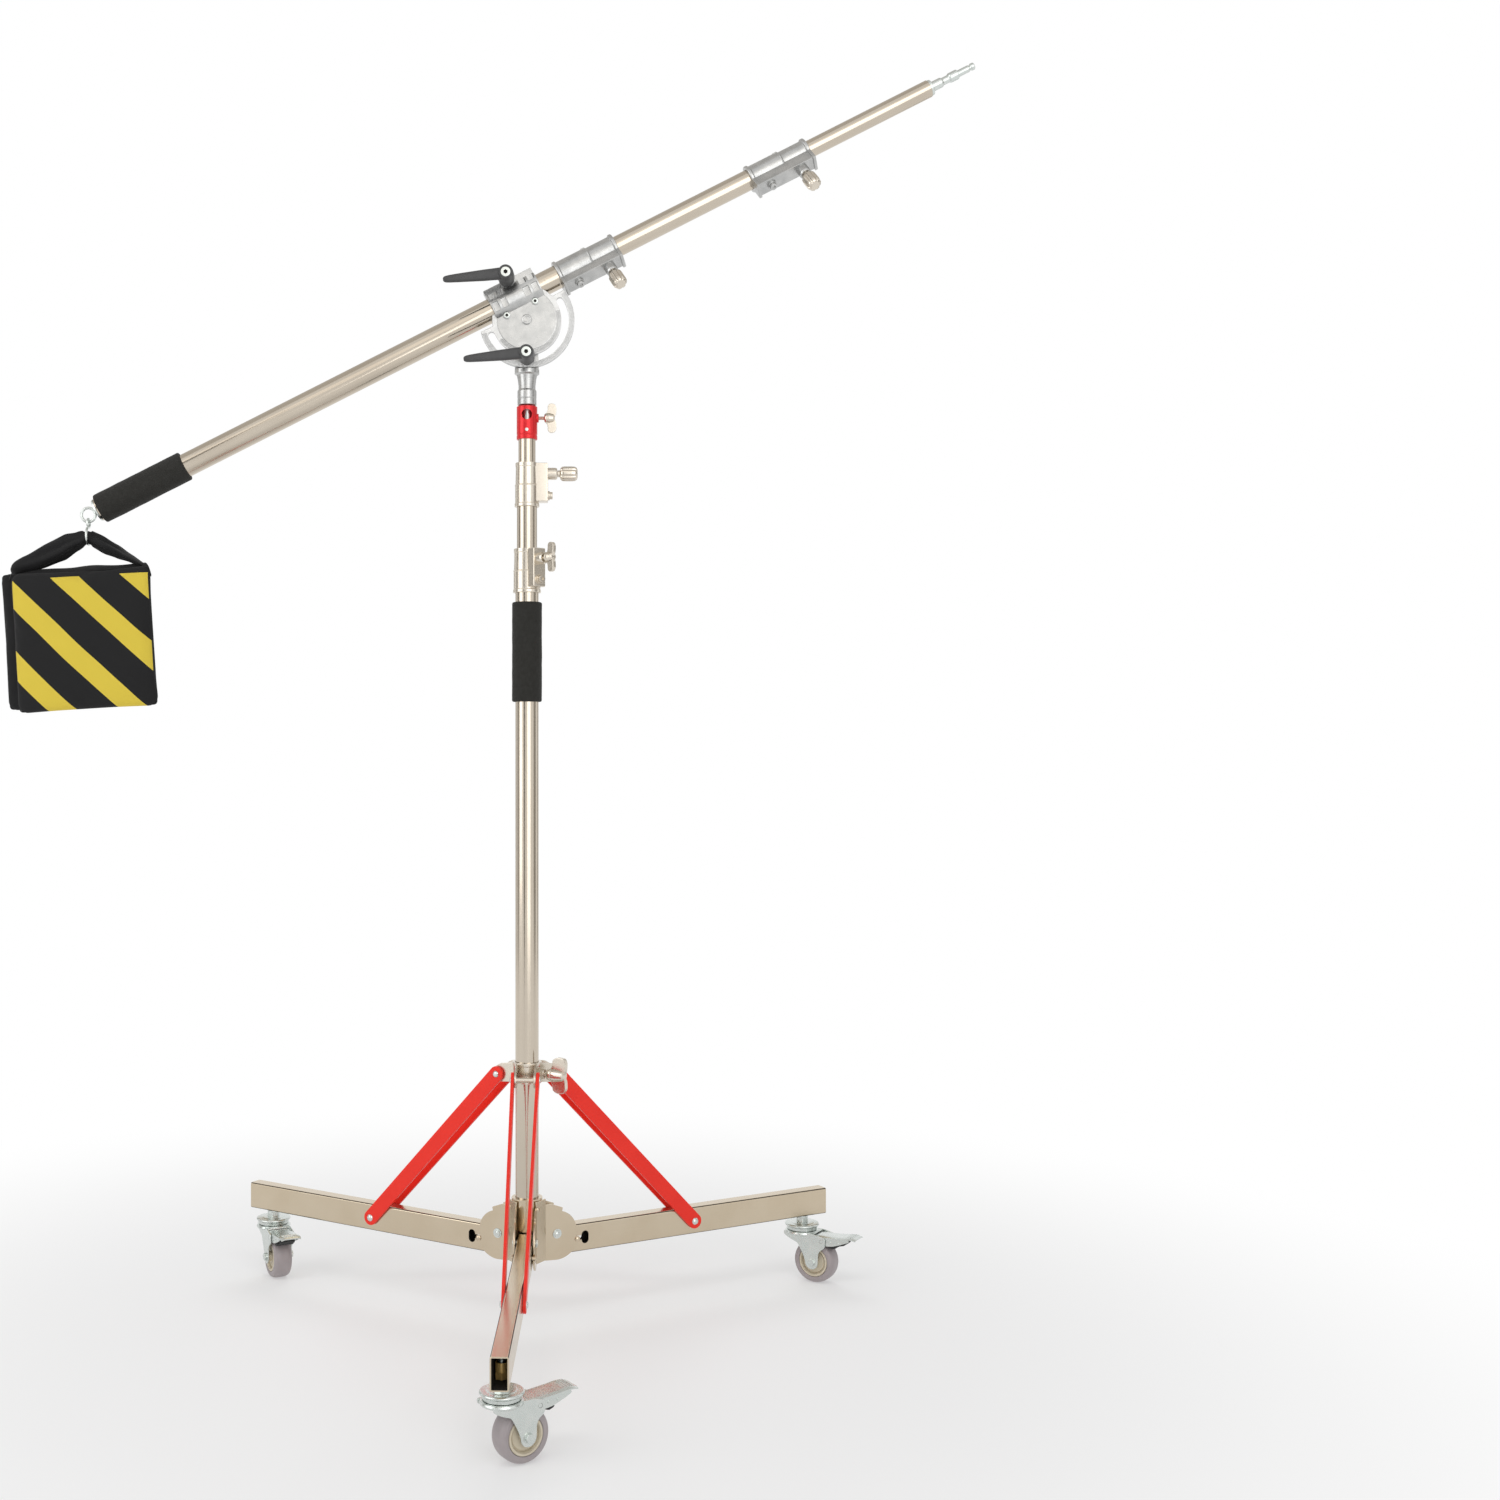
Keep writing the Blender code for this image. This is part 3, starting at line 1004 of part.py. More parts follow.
def build_casters(leg_frames):
    stem, fork, pedal, tyre, core = stem_shape(), fork_shape(), pedal_shape(), tyre_shape(), core_shape()
    for side, holder in leg_frames.items():
        foot = frame(f"caster_axis_{side}", holder, (LEG_TIP - CASTER_SETBACK, 0, 0))
        piece(f"caster_stem_{side}", stem, ZINC, foot)
        swivel = frame(f"caster_swivel_{side}", foot, turn=(0, 0, CASTER_TURNS[side] - LEG_AZIMUTHS[side]))
        piece(f"caster_fork_{side}", fork, ZINC, swivel)
        axle = (CASTER_TRAIL, 0, WHEEL_RADIUS)
        piece(f"caster_tyre_{side}", tyre, TYRE, swivel, axle)
        piece(f"caster_core_{side}", core, CREAM, swivel, axle)
        piece(f"brake_pedal_{side}", pedal, ZINC, swivel, (PEDAL_PIVOT, 0, PEDAL_PIVOT_Z))


def build_base(root):
    """Hub, legs, locking pins, struts and casters."""
    piece("leg_hub", hub_shape(), STEEL, root)
    leg, strut, pin, bolt = leg_shape(), strut_shape(), pin_shape(), headed_bolt(CHEEK_FACE + GAP, 0, 0)
    leg_frames = {}
    for side, azimuth in LEG_AZIMUTHS.items():
        holder = frame(f"leg_frame_{side}", root, turn=(0, 0, azimuth - 90))
        leg_frames[side] = holder
        hinge = (LEG_PIVOT_RADIUS, 0, PIVOT_Z)
        piece(f"leg_{side}", leg, STEEL, holder, hinge)
        piece(f"leg_bolt_{side}", bolt, ZINC, holder, hinge)
        piece(f"lock_pin_{side}", pin, ZINC, holder, (LEG_PIVOT_RADIUS + PIN_OUT, 0, PIVOT_Z - PIN_DROP))
        at = (LEG_PIVOT_RADIUS + STRUT_AT_LEG, 0, PIVOT_Z - PIN_DROP)
        tilt = frame(f"strut_axis_{side}", holder, at, (0, -STRUT_ANGLE, 0))
        piece(f"strut_{side}", strut, RED, tilt)
    build_casters(leg_frames)


def build_column(root):
    """Column tubes, clamps and knobs, the sliding collar and the red socket."""
    piece("column_tube_1", pipe(COLUMN_RADIUS, HUB_BOTTOM + HUB_FLOOR + GAP, TUBE_1_TOP), STEEL, root)
    piece("column_grip", grip_shape(COLUMN_RADIUS, GRIP_LENGTH_COLUMN), FOAM, root, (0, 0, COLUMN_GRIP_AT))
    piece("slide_collar", collar_shape(), STEEL, root)
    collar_z = COLLAR_PIVOT_Z + EAR_BELOW_TOP - COLLAR_HEIGHT / 2
    collar_out = COLUMN_RADIUS + SLIDE_GAP + COLLAR_WALL
    side = frame("collar_knob_axis", root, (0, 0, collar_z), (0, 0, COLLAR_KNOB_TURN - 90))
    knob = wing_knob_shape(COLUMN_RADIUS + 2 * GAP, collar_out + 0.017, 0.029, 0.008, 0.011, 0.032)
    piece("collar_knob", knob, STEEL, side)
    radii = (COLUMN_RADIUS, COLUMN_RADIUS_2, COLUMN_RADIUS_3)
    bottoms = (CLAMP_1_BOTTOM, CLAMP_2_BOTTOM)
    places = ((0.053, 0.020), (0.054, 0.0185))
    for i, bottom in enumerate(bottoms):
        knob_at, screw_at = places[i]
        holder = frame(f"column_clamp_axis_{i + 1}", root, (0, 0, bottom), (0, 0, COLUMN_LUG_TURNS[i] - 90))
        shape = clamp_shape(radii[i], radii[i + 1], COLUMN_CLAMP_LENGTH, COLUMN_CLAMP_SEAT, COLUMN_CLAMP_WALL,
                            0.035, knob_at, screw_at, False, 0.008)
        piece(f"column_clamp_{i + 1}", shape, STEEL, holder)
        if i == 0:
            knob = wing_knob_shape(radii[1] + 2 * GAP, BOSS_OUT + 0.004, WING_HALF)
        else:
            knob = fluted_knob_shape(radii[2])
        piece(f"column_knob_{i + 1}", knob, STEEL, holder, (0, 0, knob_at))
    top = CLAMP_2_BOTTOM + COLUMN_CLAMP_SEAT - GAP
    piece("column_tube_2", pipe(COLUMN_RADIUS_2, top - COLUMN_LENGTH_2, top), STEEL, root)
    top = SOCKET_BOTTOM + SOCKET_SEAT - GAP
    piece("column_tube_3", pipe(COLUMN_RADIUS_3, top - COLUMN_LENGTH_3, top), STEEL, root)
    piece("stud_socket", socket_shape(), RED, root, (0, 0, SOCKET_BOTTOM))
    knob_z = SOCKET_BOTTOM + SOCKET_HEIGHT - 0.018
    knob = wing_knob_shape(SPIGOT_DIAMETER / 2 + 2 * GAP, COLUMN_RADIUS_3 + 0.014, WING_HALF)
    piece("socket_knob", knob, STEEL, root, (0, 0, knob_z))


def build_head(root):
    """Yoke, quadrant, clamp jaw, bolts and levers. Returns the frame that tilts with the boom."""
    pivot = frame("tilt_axis", root, (0, 0, PIVOT_HEIGHT))
    piece("head_yoke", yoke_shape(), CAST, pivot)
    lever_seat = QUADRANT_FRONT - GAP
    bolt_front = lever_seat - LEVER_HUB_HEIGHT + 0.001 - GAP
    bolt = cap_screw(TILT_BOLT, bolt_front, YOKE_SHEET / 2 + GAP + 0.010, -SLOT_ORBIT, 0.0095)
    piece("tilt_bolt", bolt, ZINC, pivot)
    piece("tilt_lever", lever_shape(), BLACK, pivot, (0, lever_seat, -SLOT_ORBIT))
    tilted = frame("boom_tilt", pivot, turn=(0, -BOOM_ANGLE, 0))
    piece("quadrant_plate", quadrant_shape(), CAST, tilted)
    piece("boom_jaw", jaw_shape(), CAST, tilted)
    piece("pivot_bolt", pivot_bolt_shape(), ZINC, tilted)
    piece("jaw_bolt", jaw_bolt_shape(), ZINC, tilted)
    level = frame("jaw_lever_axis", tilted, (0, LEVER_SEAT, JAW_BOLT_Z), (0, BOOM_ANGLE, 0))
    piece("jaw_lever", lever_shape(), BLACK, level)
    return tilted


def build_boom(tilted):
    """Boom tubes, clamps, knobs, grip, stud and eye bolt, in a frame whose Z runs up the boom."""
    boom = frame("boom_axis", tilted, (0, 0, BOOM_LIFT), (0, 90, 0))
    starts = (BOOM_CLAMP_AT, BOOM_CLAMP_AT + BOOM_CLAMP_LENGTH + BOOM_SHOWN_2)
    radii = (BOOM_RADIUS, BOOM_RADIUS_2, BOOM_RADIUS_3)
    piece("boom_tube_1", pipe(BOOM_RADIUS, -BOOM_TAIL, starts[0] + BOOM_CLAMP_SEAT - GAP), STEEL, boom)
    for i, start in enumerate(starts):
        lug = frame(f"boom_clamp_axis_{i + 1}", boom, (0, 0, start), (0, 0, -BOOM_LUG_LEAN))
        shape = clamp_shape(radii[i], radii[i + 1], BOOM_CLAMP_LENGTH, BOOM_CLAMP_SEAT, BOOM_CLAMP_WALL,
                            0.058, 0.0795, 0.0255, True, 0.003)
        piece(f"boom_clamp_{i + 1}", shape, CAST, lug)
        piece(f"boom_knob_{i + 1}", fluted_knob_shape(radii[i + 1]), ZINC, lug, (0, 0, 0.0795))
    top = starts[1] + BOOM_CLAMP_SEAT - GAP
    piece("boom_tube_2", pipe(BOOM_RADIUS_2, top - BOOM_LENGTH_2, top), STEEL, boom)
    top = starts[1] + BOOM_CLAMP_LENGTH + BOOM_SHOWN_3
    piece("boom_tube_3", pipe(BOOM_RADIUS_3, top - BOOM_LENGTH_3, top), STEEL, boom)
    piece("boom_stud", stud_shape(), ZINC, boom, (0, 0, top))
    piece("boom_grip", grip_shape(BOOM_RADIUS, GRIP_LENGTH_BOOM), FOAM, boom, (0, 0, -BOOM_TAIL + BOOM_GRIP_INSET))
    end = frame("boom_tail", boom, (0, 0, -BOOM_TAIL), (180, 0, 0))
    piece("eye_bolt", eye_shape(), ZINC, end)
    return end


def build_bag(root):
    """Hook and bag, which hang plumb under the eye."""
    angle = math.radians(BOOM_ANGLE)
    along = Vector((math.cos(angle), 0, math.sin(angle)))
    over = Vector((-math.sin(angle), 0, math.cos(angle)))
    eye = Vector((0, 0, PIVOT_HEIGHT)) + over * BOOM_LIFT - along * (BOOM_TAIL + EYE_BACK)
    hang = frame("hook_axis", root, eye)
    hook, low = hook_shape()
    piece("s_hook", hook, ZINC, hang)
    seat = frame("bag_axis", hang, (0, 0, low))
    piece("sandbag", bag_shape(), CLOTH, seat)


def settle(root):
    """Put the origin at the middle of the footprint, on the floor."""
    bpy.context.view_layer.update()
    shapes = [thing for thing in bpy.data.objects if thing.type == "MESH"]
    points = [thing.matrix_world @ vert.co for thing in shapes for vert in thing.data.vertices]
    low = [min(point[i] for point in points) for i in range(3)]
    high = [max(point[i] for point in points) for i in range(3)]
    root.location = (-(low[0] + high[0]) / 2, -(low[1] + high[1]) / 2, -low[2])


def main():
    for thing in list(bpy.data.objects):
        bpy.data.objects.remove(thing, do_unlink=True)
    root = frame("stand_frame")
    build_base(root)
    build_column(root)
    build_boom(build_head(root))
    build_bag(root)
    settle(root)


main()
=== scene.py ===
"""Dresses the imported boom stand: fine shapes, finishes, studio and camera.

Every piece is built in the local frame of its joint or tube and then stood in the row frame,
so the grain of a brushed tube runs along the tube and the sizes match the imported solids.
"""
import math

import bmesh
import bpy
from mathutils import Matrix, Vector, noise


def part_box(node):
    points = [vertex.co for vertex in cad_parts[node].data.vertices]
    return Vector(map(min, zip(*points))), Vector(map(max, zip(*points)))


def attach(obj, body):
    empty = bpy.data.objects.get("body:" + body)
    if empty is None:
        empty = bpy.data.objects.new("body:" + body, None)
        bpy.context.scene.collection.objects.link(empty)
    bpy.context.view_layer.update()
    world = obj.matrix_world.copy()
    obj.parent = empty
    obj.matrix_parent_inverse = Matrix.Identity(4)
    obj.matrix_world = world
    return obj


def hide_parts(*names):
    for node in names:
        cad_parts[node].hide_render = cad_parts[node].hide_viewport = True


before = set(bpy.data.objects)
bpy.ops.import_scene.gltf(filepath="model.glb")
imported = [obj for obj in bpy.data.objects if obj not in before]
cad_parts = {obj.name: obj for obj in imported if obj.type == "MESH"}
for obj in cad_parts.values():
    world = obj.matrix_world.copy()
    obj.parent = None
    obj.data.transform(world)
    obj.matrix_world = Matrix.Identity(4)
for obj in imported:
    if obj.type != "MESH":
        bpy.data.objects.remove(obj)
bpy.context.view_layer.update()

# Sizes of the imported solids, in metres and degrees
GAP, SLIDE, WALL = 0.0003, 0.0004, 0.0015
WHEEL_R, WHEEL_W, CORE_R, TRAIL = 0.0375, 0.032, 0.026, 0.028
FORK_TOP, FORK_CAP, FORK_SHEET, FORK_GAP = 0.088, 0.006, 0.0025, 0.0035
RACE_R, RACE_LOW, RACE_TOP = 0.03, 0.0886, 0.1001
PEDAL_X, PEDAL_Z, PEDAL_REACH = 0.046, 0.076, 0.108
LEG_W, LEG_H, LEG_WALL, LEG_DROP = 0.025, 0.045, 0.002, 0.009
LEG_LOW, LEG_TIP, LEG_BACK, SETBACK = 0.1121, 0.586, 0.0155, 0.043
PIVOT_R, PIVOT_Z, PIN_ORBIT, PIN_DROP = 0.046, 0.1481, 0.04, 0.0135
HUB_LOW, HUB_TOP, HUB_R, HUB_FLAT = 0.1071, 0.2101, 0.0251, 0.0275
CHEEK, CHEEK_FACE, CHEEK_R, CHEEK_RIM = 0.003, 0.01725, 0.0425, 0.0365
STRUT_AT, STRUT_LENGTH, STRUT_SHEET, STRUT_SPLAY = 0.2635, 0.379, 0.005, 0.0045
COLLAR_LOW, COLLAR_TOP, COLLAR_PIVOT, EAR_FACE = 0.39501, 0.42901, 0.40701, 0.0171
TUBES = (0.019, 0.0165, 0.014)
BOOM_ANGLE, BOOM_LIFT, BOOM_TAIL = 26.9, 0.043, 0.756
PIVOT_HEIGHT, SLOT_R, SLOT_HALF, SLOT_SPAN = 1.6257, 0.06175, 0.00575, 93.3
QUAD_BACK, QUAD_FRONT, QUAD_R, DISC_R = -0.0063, -0.016, 0.0768, 0.0485
JAW_BACK, JAW_FRONT, JAW_R, JAW_BOLT_Z = 0.042, 0.0436, 0.0268, 0.072
JAW_SCREWS, JAW_SCREW_Z = (-0.0255, 0.0255), 0.0205
LEVER_SEAT, LEVER_HUB, LEVER_TALL = -0.0173, 0.0135, 0.049
LUG_HALF, LUG_REACH, BOSS_OUT, KNOB_BACK = 0.012, 0.034, 0.049, 0.053
COLUMN_SPANS = ((0.1104, 1.2154), (0.3244, 1.3544), (0.4599, 1.4599))
COLUMN_CLAMPS = ((1.1872, 38.0 - 90, 0.053, 0.02), (1.3262, 0.0, 0.054, 0.0185))
COLUMN_GRIP, COLUMN_GRIP_AT, COLLAR_TURN = 0.161, 1.011, 57.8 - 90
SOCKET_R, SOCKET_TALL, SOCKET_AT, SOCKET_SCREW = TUBES[2] + GAP + 0.0025, 0.053, 1.4352, 0.035
BOOM_CLAMPS, BOOM_CLAMP, BOOM_KNOB_AT, BOOM_LUG_TURN = (0.0775, 0.4245), 0.106, 0.0795, 34
BOOM_LAP, BOOM_OUT, BOOM_LENGTHS, BOOM_GRIP, BOOM_GRIP_IN = 0.0597, 0.2206, (0.8, 0.72), 0.155, 0.0025
EYE_BACK, EYE_R, EYE_WIRE = 0.0185, 0.01125, 0.0045
HOOK_WIRE, HOOK_TOP_R, HOOK_LOW_R = 0.004, 0.0068, 0.01385
AZIMUTHS = {"front": -2.2, "left": -122.2, "right": 117.8}
CASTER_TURNS = {"front": 123.0, "left": 26.0, "right": 57.0}
PIN_OUT = math.sqrt(PIN_ORBIT ** 2 - PIN_DROP ** 2)
PIN_ANGLE = math.degrees(math.asin(PIN_DROP / PIN_ORBIT))
STRUT_ANGLE = math.degrees(math.atan2(math.sqrt(STRUT_LENGTH ** 2 - STRUT_AT ** 2), -STRUT_AT))
STRUT_IN = LEG_W / 2 + 0.0005


# Matrices and outlines

def at(x=0.0, y=0.0, z=0.0):
    return Matrix.Translation((x, y, z))


def spin(degrees, axis):
    return Matrix.Rotation(math.radians(degrees), 4, axis)


def arc(cx, cz, radius, start, end, steps):
    angles = (math.radians(start + (end - start) * i / steps) for i in range(steps + 1))
    return [(cx + radius * math.cos(a), cz + radius * math.sin(a)) for a in angles]


def rounded(points, radius, steps=3, closed=False):
    """Round the corners of an outline; an open one keeps its ends."""
    result, count = [], len(points)
    for i, point in enumerate(points):
        if not closed and i in (0, count - 1):
            result.append(tuple(point))
            continue
        here = Vector(point)
        back, ahead = Vector(points[i - 1]) - here, Vector(points[(i + 1) % count]) - here
        reach = min(radius, back.length * 0.45, ahead.length * 0.45)
        if reach < 2e-5 or abs(back.angle(ahead, math.pi) - math.pi) < 0.02:
            result.append(tuple(point))
            continue
        first, last = here + back.normalized() * reach, here + ahead.normalized() * reach
        for k in range(steps + 1):
            t = k / steps
            result.append(tuple((1 - t) ** 2 * first + 2 * t * (1 - t) * here + t * t * last))
    return result


# Meshes

def finished(bm):
    bmesh.ops.recalc_face_normals(bm, faces=bm.faces)
    mesh = bpy.data.meshes.new("shape")
    bm.to_mesh(mesh)
    bm.free()
    return mesh


def lathe(outline, segments=64, ring=False, soft=0.0, matrix=None):
    """Spin an outline of (radius, height) points about Z, with rounded corners where asked."""
    if soft:
        outline = rounded(outline, soft, closed=ring)
    bm = bmesh.new()
    verts = [bm.verts.new((radius, 0.0, height)) for radius, height in outline]
    edges = [bm.edges.new(pair) for pair in zip(verts, verts[1:])]
    if ring:
        edges.append(bm.edges.new((verts[-1], verts[0])))
    bmesh.ops.spin(bm, geom=verts + edges, cent=(0, 0, 0), axis=(0, 0, 1),
                   angle=2 * math.pi, steps=segments, use_merge=True)
    bmesh.ops.remove_doubles(bm, verts=bm.verts, dist=1e-6)
    mesh = finished(bm)
    if matrix:
        mesh.transform(matrix)
    return mesh


def soften(mesh, width, segments=2, angle=30.0):
    """Round the edges of a solid whose faces meet at more than an angle."""
    bm = bmesh.new()
    bm.from_mesh(mesh)
    sharp = [e for e in bm.edges if len(e.link_faces) == 2 and e.calc_face_angle(0) > math.radians(angle)]
    bmesh.ops.bevel(bm, geom=sharp, offset=width, segments=segments, profile=0.5, affect="EDGES",
                    clamp_overlap=True)
    bmesh.ops.remove_doubles(bm, verts=bm.verts, dist=1e-7)
    bm.to_mesh(mesh)
    bm.free()
    return mesh


def prism(outline, low, high, soft=0.0, matrix=None):
    """Extrude an outline of (x, z) points along Y."""
    bm = bmesh.new()
    face = bm.faces.new([bm.verts.new((x, low, z)) for x, z in outline])
    grown = bmesh.ops.extrude_face_region(bm, geom=[face])["geom"]
    bmesh.ops.translate(bm, verts=[v for v in grown if isinstance(v, bmesh.types.BMVert)],
                        vec=(0.0, high - low, 0.0))
    mesh = finished(bm)
    if soft:
        soften(mesh, soft)
    if matrix:
        mesh.transform(matrix)
    return mesh


def block(low, high, soft=0.0):
    corners = [(low[0], low[2]), (high[0], low[2]), (high[0], high[2]), (low[0], high[2])]
    return prism(corners, low[1], high[1], soft)


def loft(rings, closed=False):
    """Skin a row of rings; the row is capped at both ends, or closed on itself."""
    bm = bmesh.new()
    loops = [[bm.verts.new(point) for point in ring] for ring in rings]
    count = len(loops[0])
    for here, there in zip(loops, loops[1:] + (loops[:1] if closed else [])):
        for i in range(count):
            j = (i + 1) % count
            bm.faces.new((here[i], here[j], there[j], there[i]))
    if not closed:
        bm.faces.new(loops[0])
        bm.faces.new(loops[-1])
    return finished(bm)


def turns(count):
    """Equal angles round a full turn."""
    return [2 * math.pi * k / count for k in range(count)]


def swept(path, radius, sides=14):
    """A round wire along a path, with domed ends."""
    points = [Vector(p) for p in path]
    first, last = (points[0] - points[1]).normalized(), (points[-1] - points[-2]).normalized()
    line = [(points[0] + first * radius * 0.6, 0.45), (points[0] + first * radius * 0.3, 0.85)]
    line += [(p, 1.0) for p in points]
    line += [(points[-1] + last * radius * 0.3, 0.85), (points[-1] + last * radius * 0.6, 0.45)]
    rings, side = [], None
    for i, (point, share) in enumerate(line):
        ahead = (line[min(i + 1, len(line) - 1)][0] - line[max(i - 1, 0)][0]).normalized()
        side = ahead.orthogonal().normalized() if side is None else side
        side = (side - ahead * side.dot(ahead)).normalized()
        other = ahead.cross(side)
        spokes = [math.cos(t) * side + math.sin(t) * other for t in turns(sides)]
        rings.append([point + share * radius * spoke for spoke in spokes])
    return loft(rings)


def aimed(mesh, point, axis):
    """Stand a mesh that was made along Z on a point, along another axis."""
    turn = Vector((0, 0, 1)).rotation_difference(Vector(axis).normalized()).to_matrix().to_4x4()
    mesh.transform(Matrix.Translation(Vector(point)) @ turn)
    return mesh


def turned(outline, point, axis, segments=64, soft=0.0):
    """Spin an outline, and stand it on a point along an axis."""
    return aimed(lathe(outline, segments, soft=soft), point, axis)


def rod(radius, start, end, segments=32, soft=0.0):
    length = (Vector(end) - Vector(start)).length
    outline = [(0, 0), (radius, 0), (radius, length), (0, length)]
    return turned(outline, start, Vector(end) - Vector(start), segments, soft)


def thread(radius, start, end, pitch=0.001, segments=24):
    """A screw's shank, with rings for its thread."""
    length = (Vector(end) - Vector(start)).length
    count = max(int(length / pitch), 2)
    outline = [(0, 0)]
    for k in range(count):
        outline += [(radius * 0.9, length * k / count), (radius, length * (k + 0.5) / count)]
    outline += [(radius * 0.88, length), (0, length)]
    return turned(outline, start, Vector(end) - Vector(start), segments)


def hexagon(radius, height, point, axis, soft=0.0005):
    """A bolt head or nut with softened corners."""
    return aimed(prism(arc(0, 0, radius, 0, 300, 5), 0.0, height, soft, spin(90, "X")), point, axis)


def mirrored(mesh, axis=(0, 1, 0)):
    twin = mesh.copy()
    twin.transform(Matrix.Scale(-1, 4, axis))
    twin.flip_normals()
    return twin


def linked(name, data):
    thing = bpy.data.objects.new(name, data)
    bpy.context.scene.collection.objects.link(thing)
    return thing


def combined(base, tools, operation):
    """Run one Boolean for each tool on a mesh and return the result."""
    body = linked("body", base)
    helpers = [linked("tool", tool) for tool in tools]
    for helper in helpers:
        step = body.modifiers.new("step", "BOOLEAN")
        step.operation, step.solver, step.object = operation, "EXACT", helper
    graph = bpy.context.evaluated_depsgraph_get()
    result = bpy.data.meshes.new_from_object(body.evaluated_get(graph), depsgraph=graph)
    for thing in [body] + helpers:
        bpy.data.objects.remove(thing)
    bm = bmesh.new()
    bm.from_mesh(result)
    bmesh.ops.remove_doubles(bm, verts=bm.verts, dist=2e-6)
    bmesh.ops.dissolve_degenerate(bm, edges=bm.edges, dist=2e-6)
    bm.to_mesh(result)
    bm.free()
    return result


def joined(base, *tools):
    return combined(base, tools, "UNION")


def cut(base, *tools):
    return combined(base, tools, "DIFFERENCE")


def gathered(*meshes):
    """Several closed shells in one mesh, for parts that are pressed together."""
    bm = bmesh.new()
    for mesh in meshes:
        bm.from_mesh(mesh)
    mesh = bpy.data.meshes.new("shape")
    bm.to_mesh(mesh)
    bm.free()
    return mesh


def moved(mesh, matrix):
    mesh.transform(matrix)
    return mesh


# Finishes

def fed(made, inputs):
    """Link or set a node's inputs; a colour is given without its alpha."""
    for key, value in dict(inputs).items():
        socket = made.inputs[key]
        if isinstance(value, bpy.types.NodeSocket):
            made.id_data.links.new(value, socket)
        else:
            socket.default_value = (*value, 1.0) if socket.type == "RGBA" else value
    return made


def added(tree, kind, inputs=(), **fields):
    """Add a shader node, with its fields and its inputs."""
    made = tree.nodes.new("ShaderNode" + kind)
    for field, value in fields.items():
        setattr(made, field, value)
    return fed(made, inputs)


def calc(tree, operation, *values):
    """One step of arithmetic."""
    return added(tree, "Math", enumerate(values), operation=operation).outputs["Value"]


def blend(tree, share, first, second):
    """A colour between two."""
    return added(tree, "Mix", {"Factor": share, "A": first, "B": second}, data_type="RGBA").outputs["Result"]


def coated(name, inputs):
    """A new material, its nodes, and its main shader with some inputs."""
    paint = bpy.data.materials.new(name)
    paint.use_nodes = True
    tree = paint.node_tree
    return paint, tree, fed(tree.nodes["Principled BSDF"], inputs)


def finish(name, colour, rough, metal, grain, scale, spread, bump, depth, tint, tint_scale, tint_share=0.5,
           kind="noise", coat=0.0, sheen=0.0, gloss=0.5):
    """A procedural finish: grained roughness, patchy tint and a fine bump, in the piece's own frame."""
    paint, tree, shader = coated(name, {
        "Base Color": colour, "Metallic": metal, "Specular IOR Level": gloss, "Coat Weight": coat,
        "Coat Roughness": 0.12, "Sheen Weight": sheen, "Sheen Roughness": 0.4})
    place = added(tree, "TexCoord").outputs["Object"]
    stretched = added(tree, "Mapping", {"Vector": place, "Scale": grain}).outputs["Vector"]
    if kind == "cells":
        fine = added(tree, "TexVoronoi", {"Vector": stretched, "Scale": scale}).outputs["Distance"]
    else:
        fine = added(tree, "TexNoise", {"Vector": stretched, "Scale": scale, "Detail": 6.0}).outputs["Fac"]
    ranged = added(tree, "MapRange", {"Value": fine, "From Min": 0.25, "From Max": 0.75,
                                      "To Min": max(rough - spread, 0.02), "To Max": rough + spread})
    relief = added(tree, "Bump", {"Height": fine, "Strength": bump, "Distance": depth})
    patches = added(tree, "TexNoise", {"Vector": place, "Scale": tint_scale, "Detail": 4.0}).outputs["Fac"]
    share = added(tree, "MapRange", {"Value": patches, "From Min": 0.35, "From Max": 0.65,
                                     "To Max": tint_share})
    fed(shader, {"Roughness": ranged.outputs["Result"], "Normal": relief.outputs["Normal"],
                 "Base Color": blend(tree, share.outputs["Result"], colour, tint)})
    return paint


TUBE = finish("tube_steel", (0.55, 0.485, 0.4), 0.15, 1.0, (1, 1, 0.012), 900, 0.05, 0.1, 0.00004,
              (0.6, 0.54, 0.455), 9.0)
SHEET = finish("sheet_steel", (0.6, 0.505, 0.375), 0.21, 1.0, (0.02, 1, 1), 700, 0.05, 0.08, 0.00004,
               (0.66, 0.57, 0.44), 14.0)
NICKEL = finish("nickel_plate", (0.68, 0.62, 0.53), 0.24, 1.0, (1, 1, 1), 420, 0.06, 0.12, 0.0001,
                (0.63, 0.575, 0.5), 40.0)
CAST = finish("cast_alloy", (0.54, 0.54, 0.53), 0.32, 1.0, (1, 1, 1), 650, 0.1, 0.3, 0.00015,
              (0.42, 0.425, 0.42), 55.0, 0.8)
MACHINED = finish("machined_rim", (0.74, 0.74, 0.73), 0.4, 0.55, (1, 1, 1), 700, 0.06, 0.1, 0.0001,
                  (0.62, 0.62, 0.61), 90.0, 0.7)
ZINC = finish("zinc_plate", (0.67, 0.7, 0.675), 0.27, 1.0, (1, 1, 1), 500, 0.06, 0.08, 0.0001,
              (0.57, 0.62, 0.6), 60.0)
RED = finish("red_paint", (0.86, 0.032, 0.018), 0.36, 0.0, (1, 1, 1), 380, 0.05, 0.1, 0.0001,
             (0.8, 0.026, 0.015), 25.0, 0.5, coat=0.06, gloss=0.22)
ANODISED = finish("red_anodised", (0.66, 0.018, 0.024), 0.28, 0.35, (1, 1, 0.05), 600, 0.06, 0.1, 0.0001,
                  (0.78, 0.03, 0.035), 60.0, 0.5, coat=0.15, gloss=0.3)
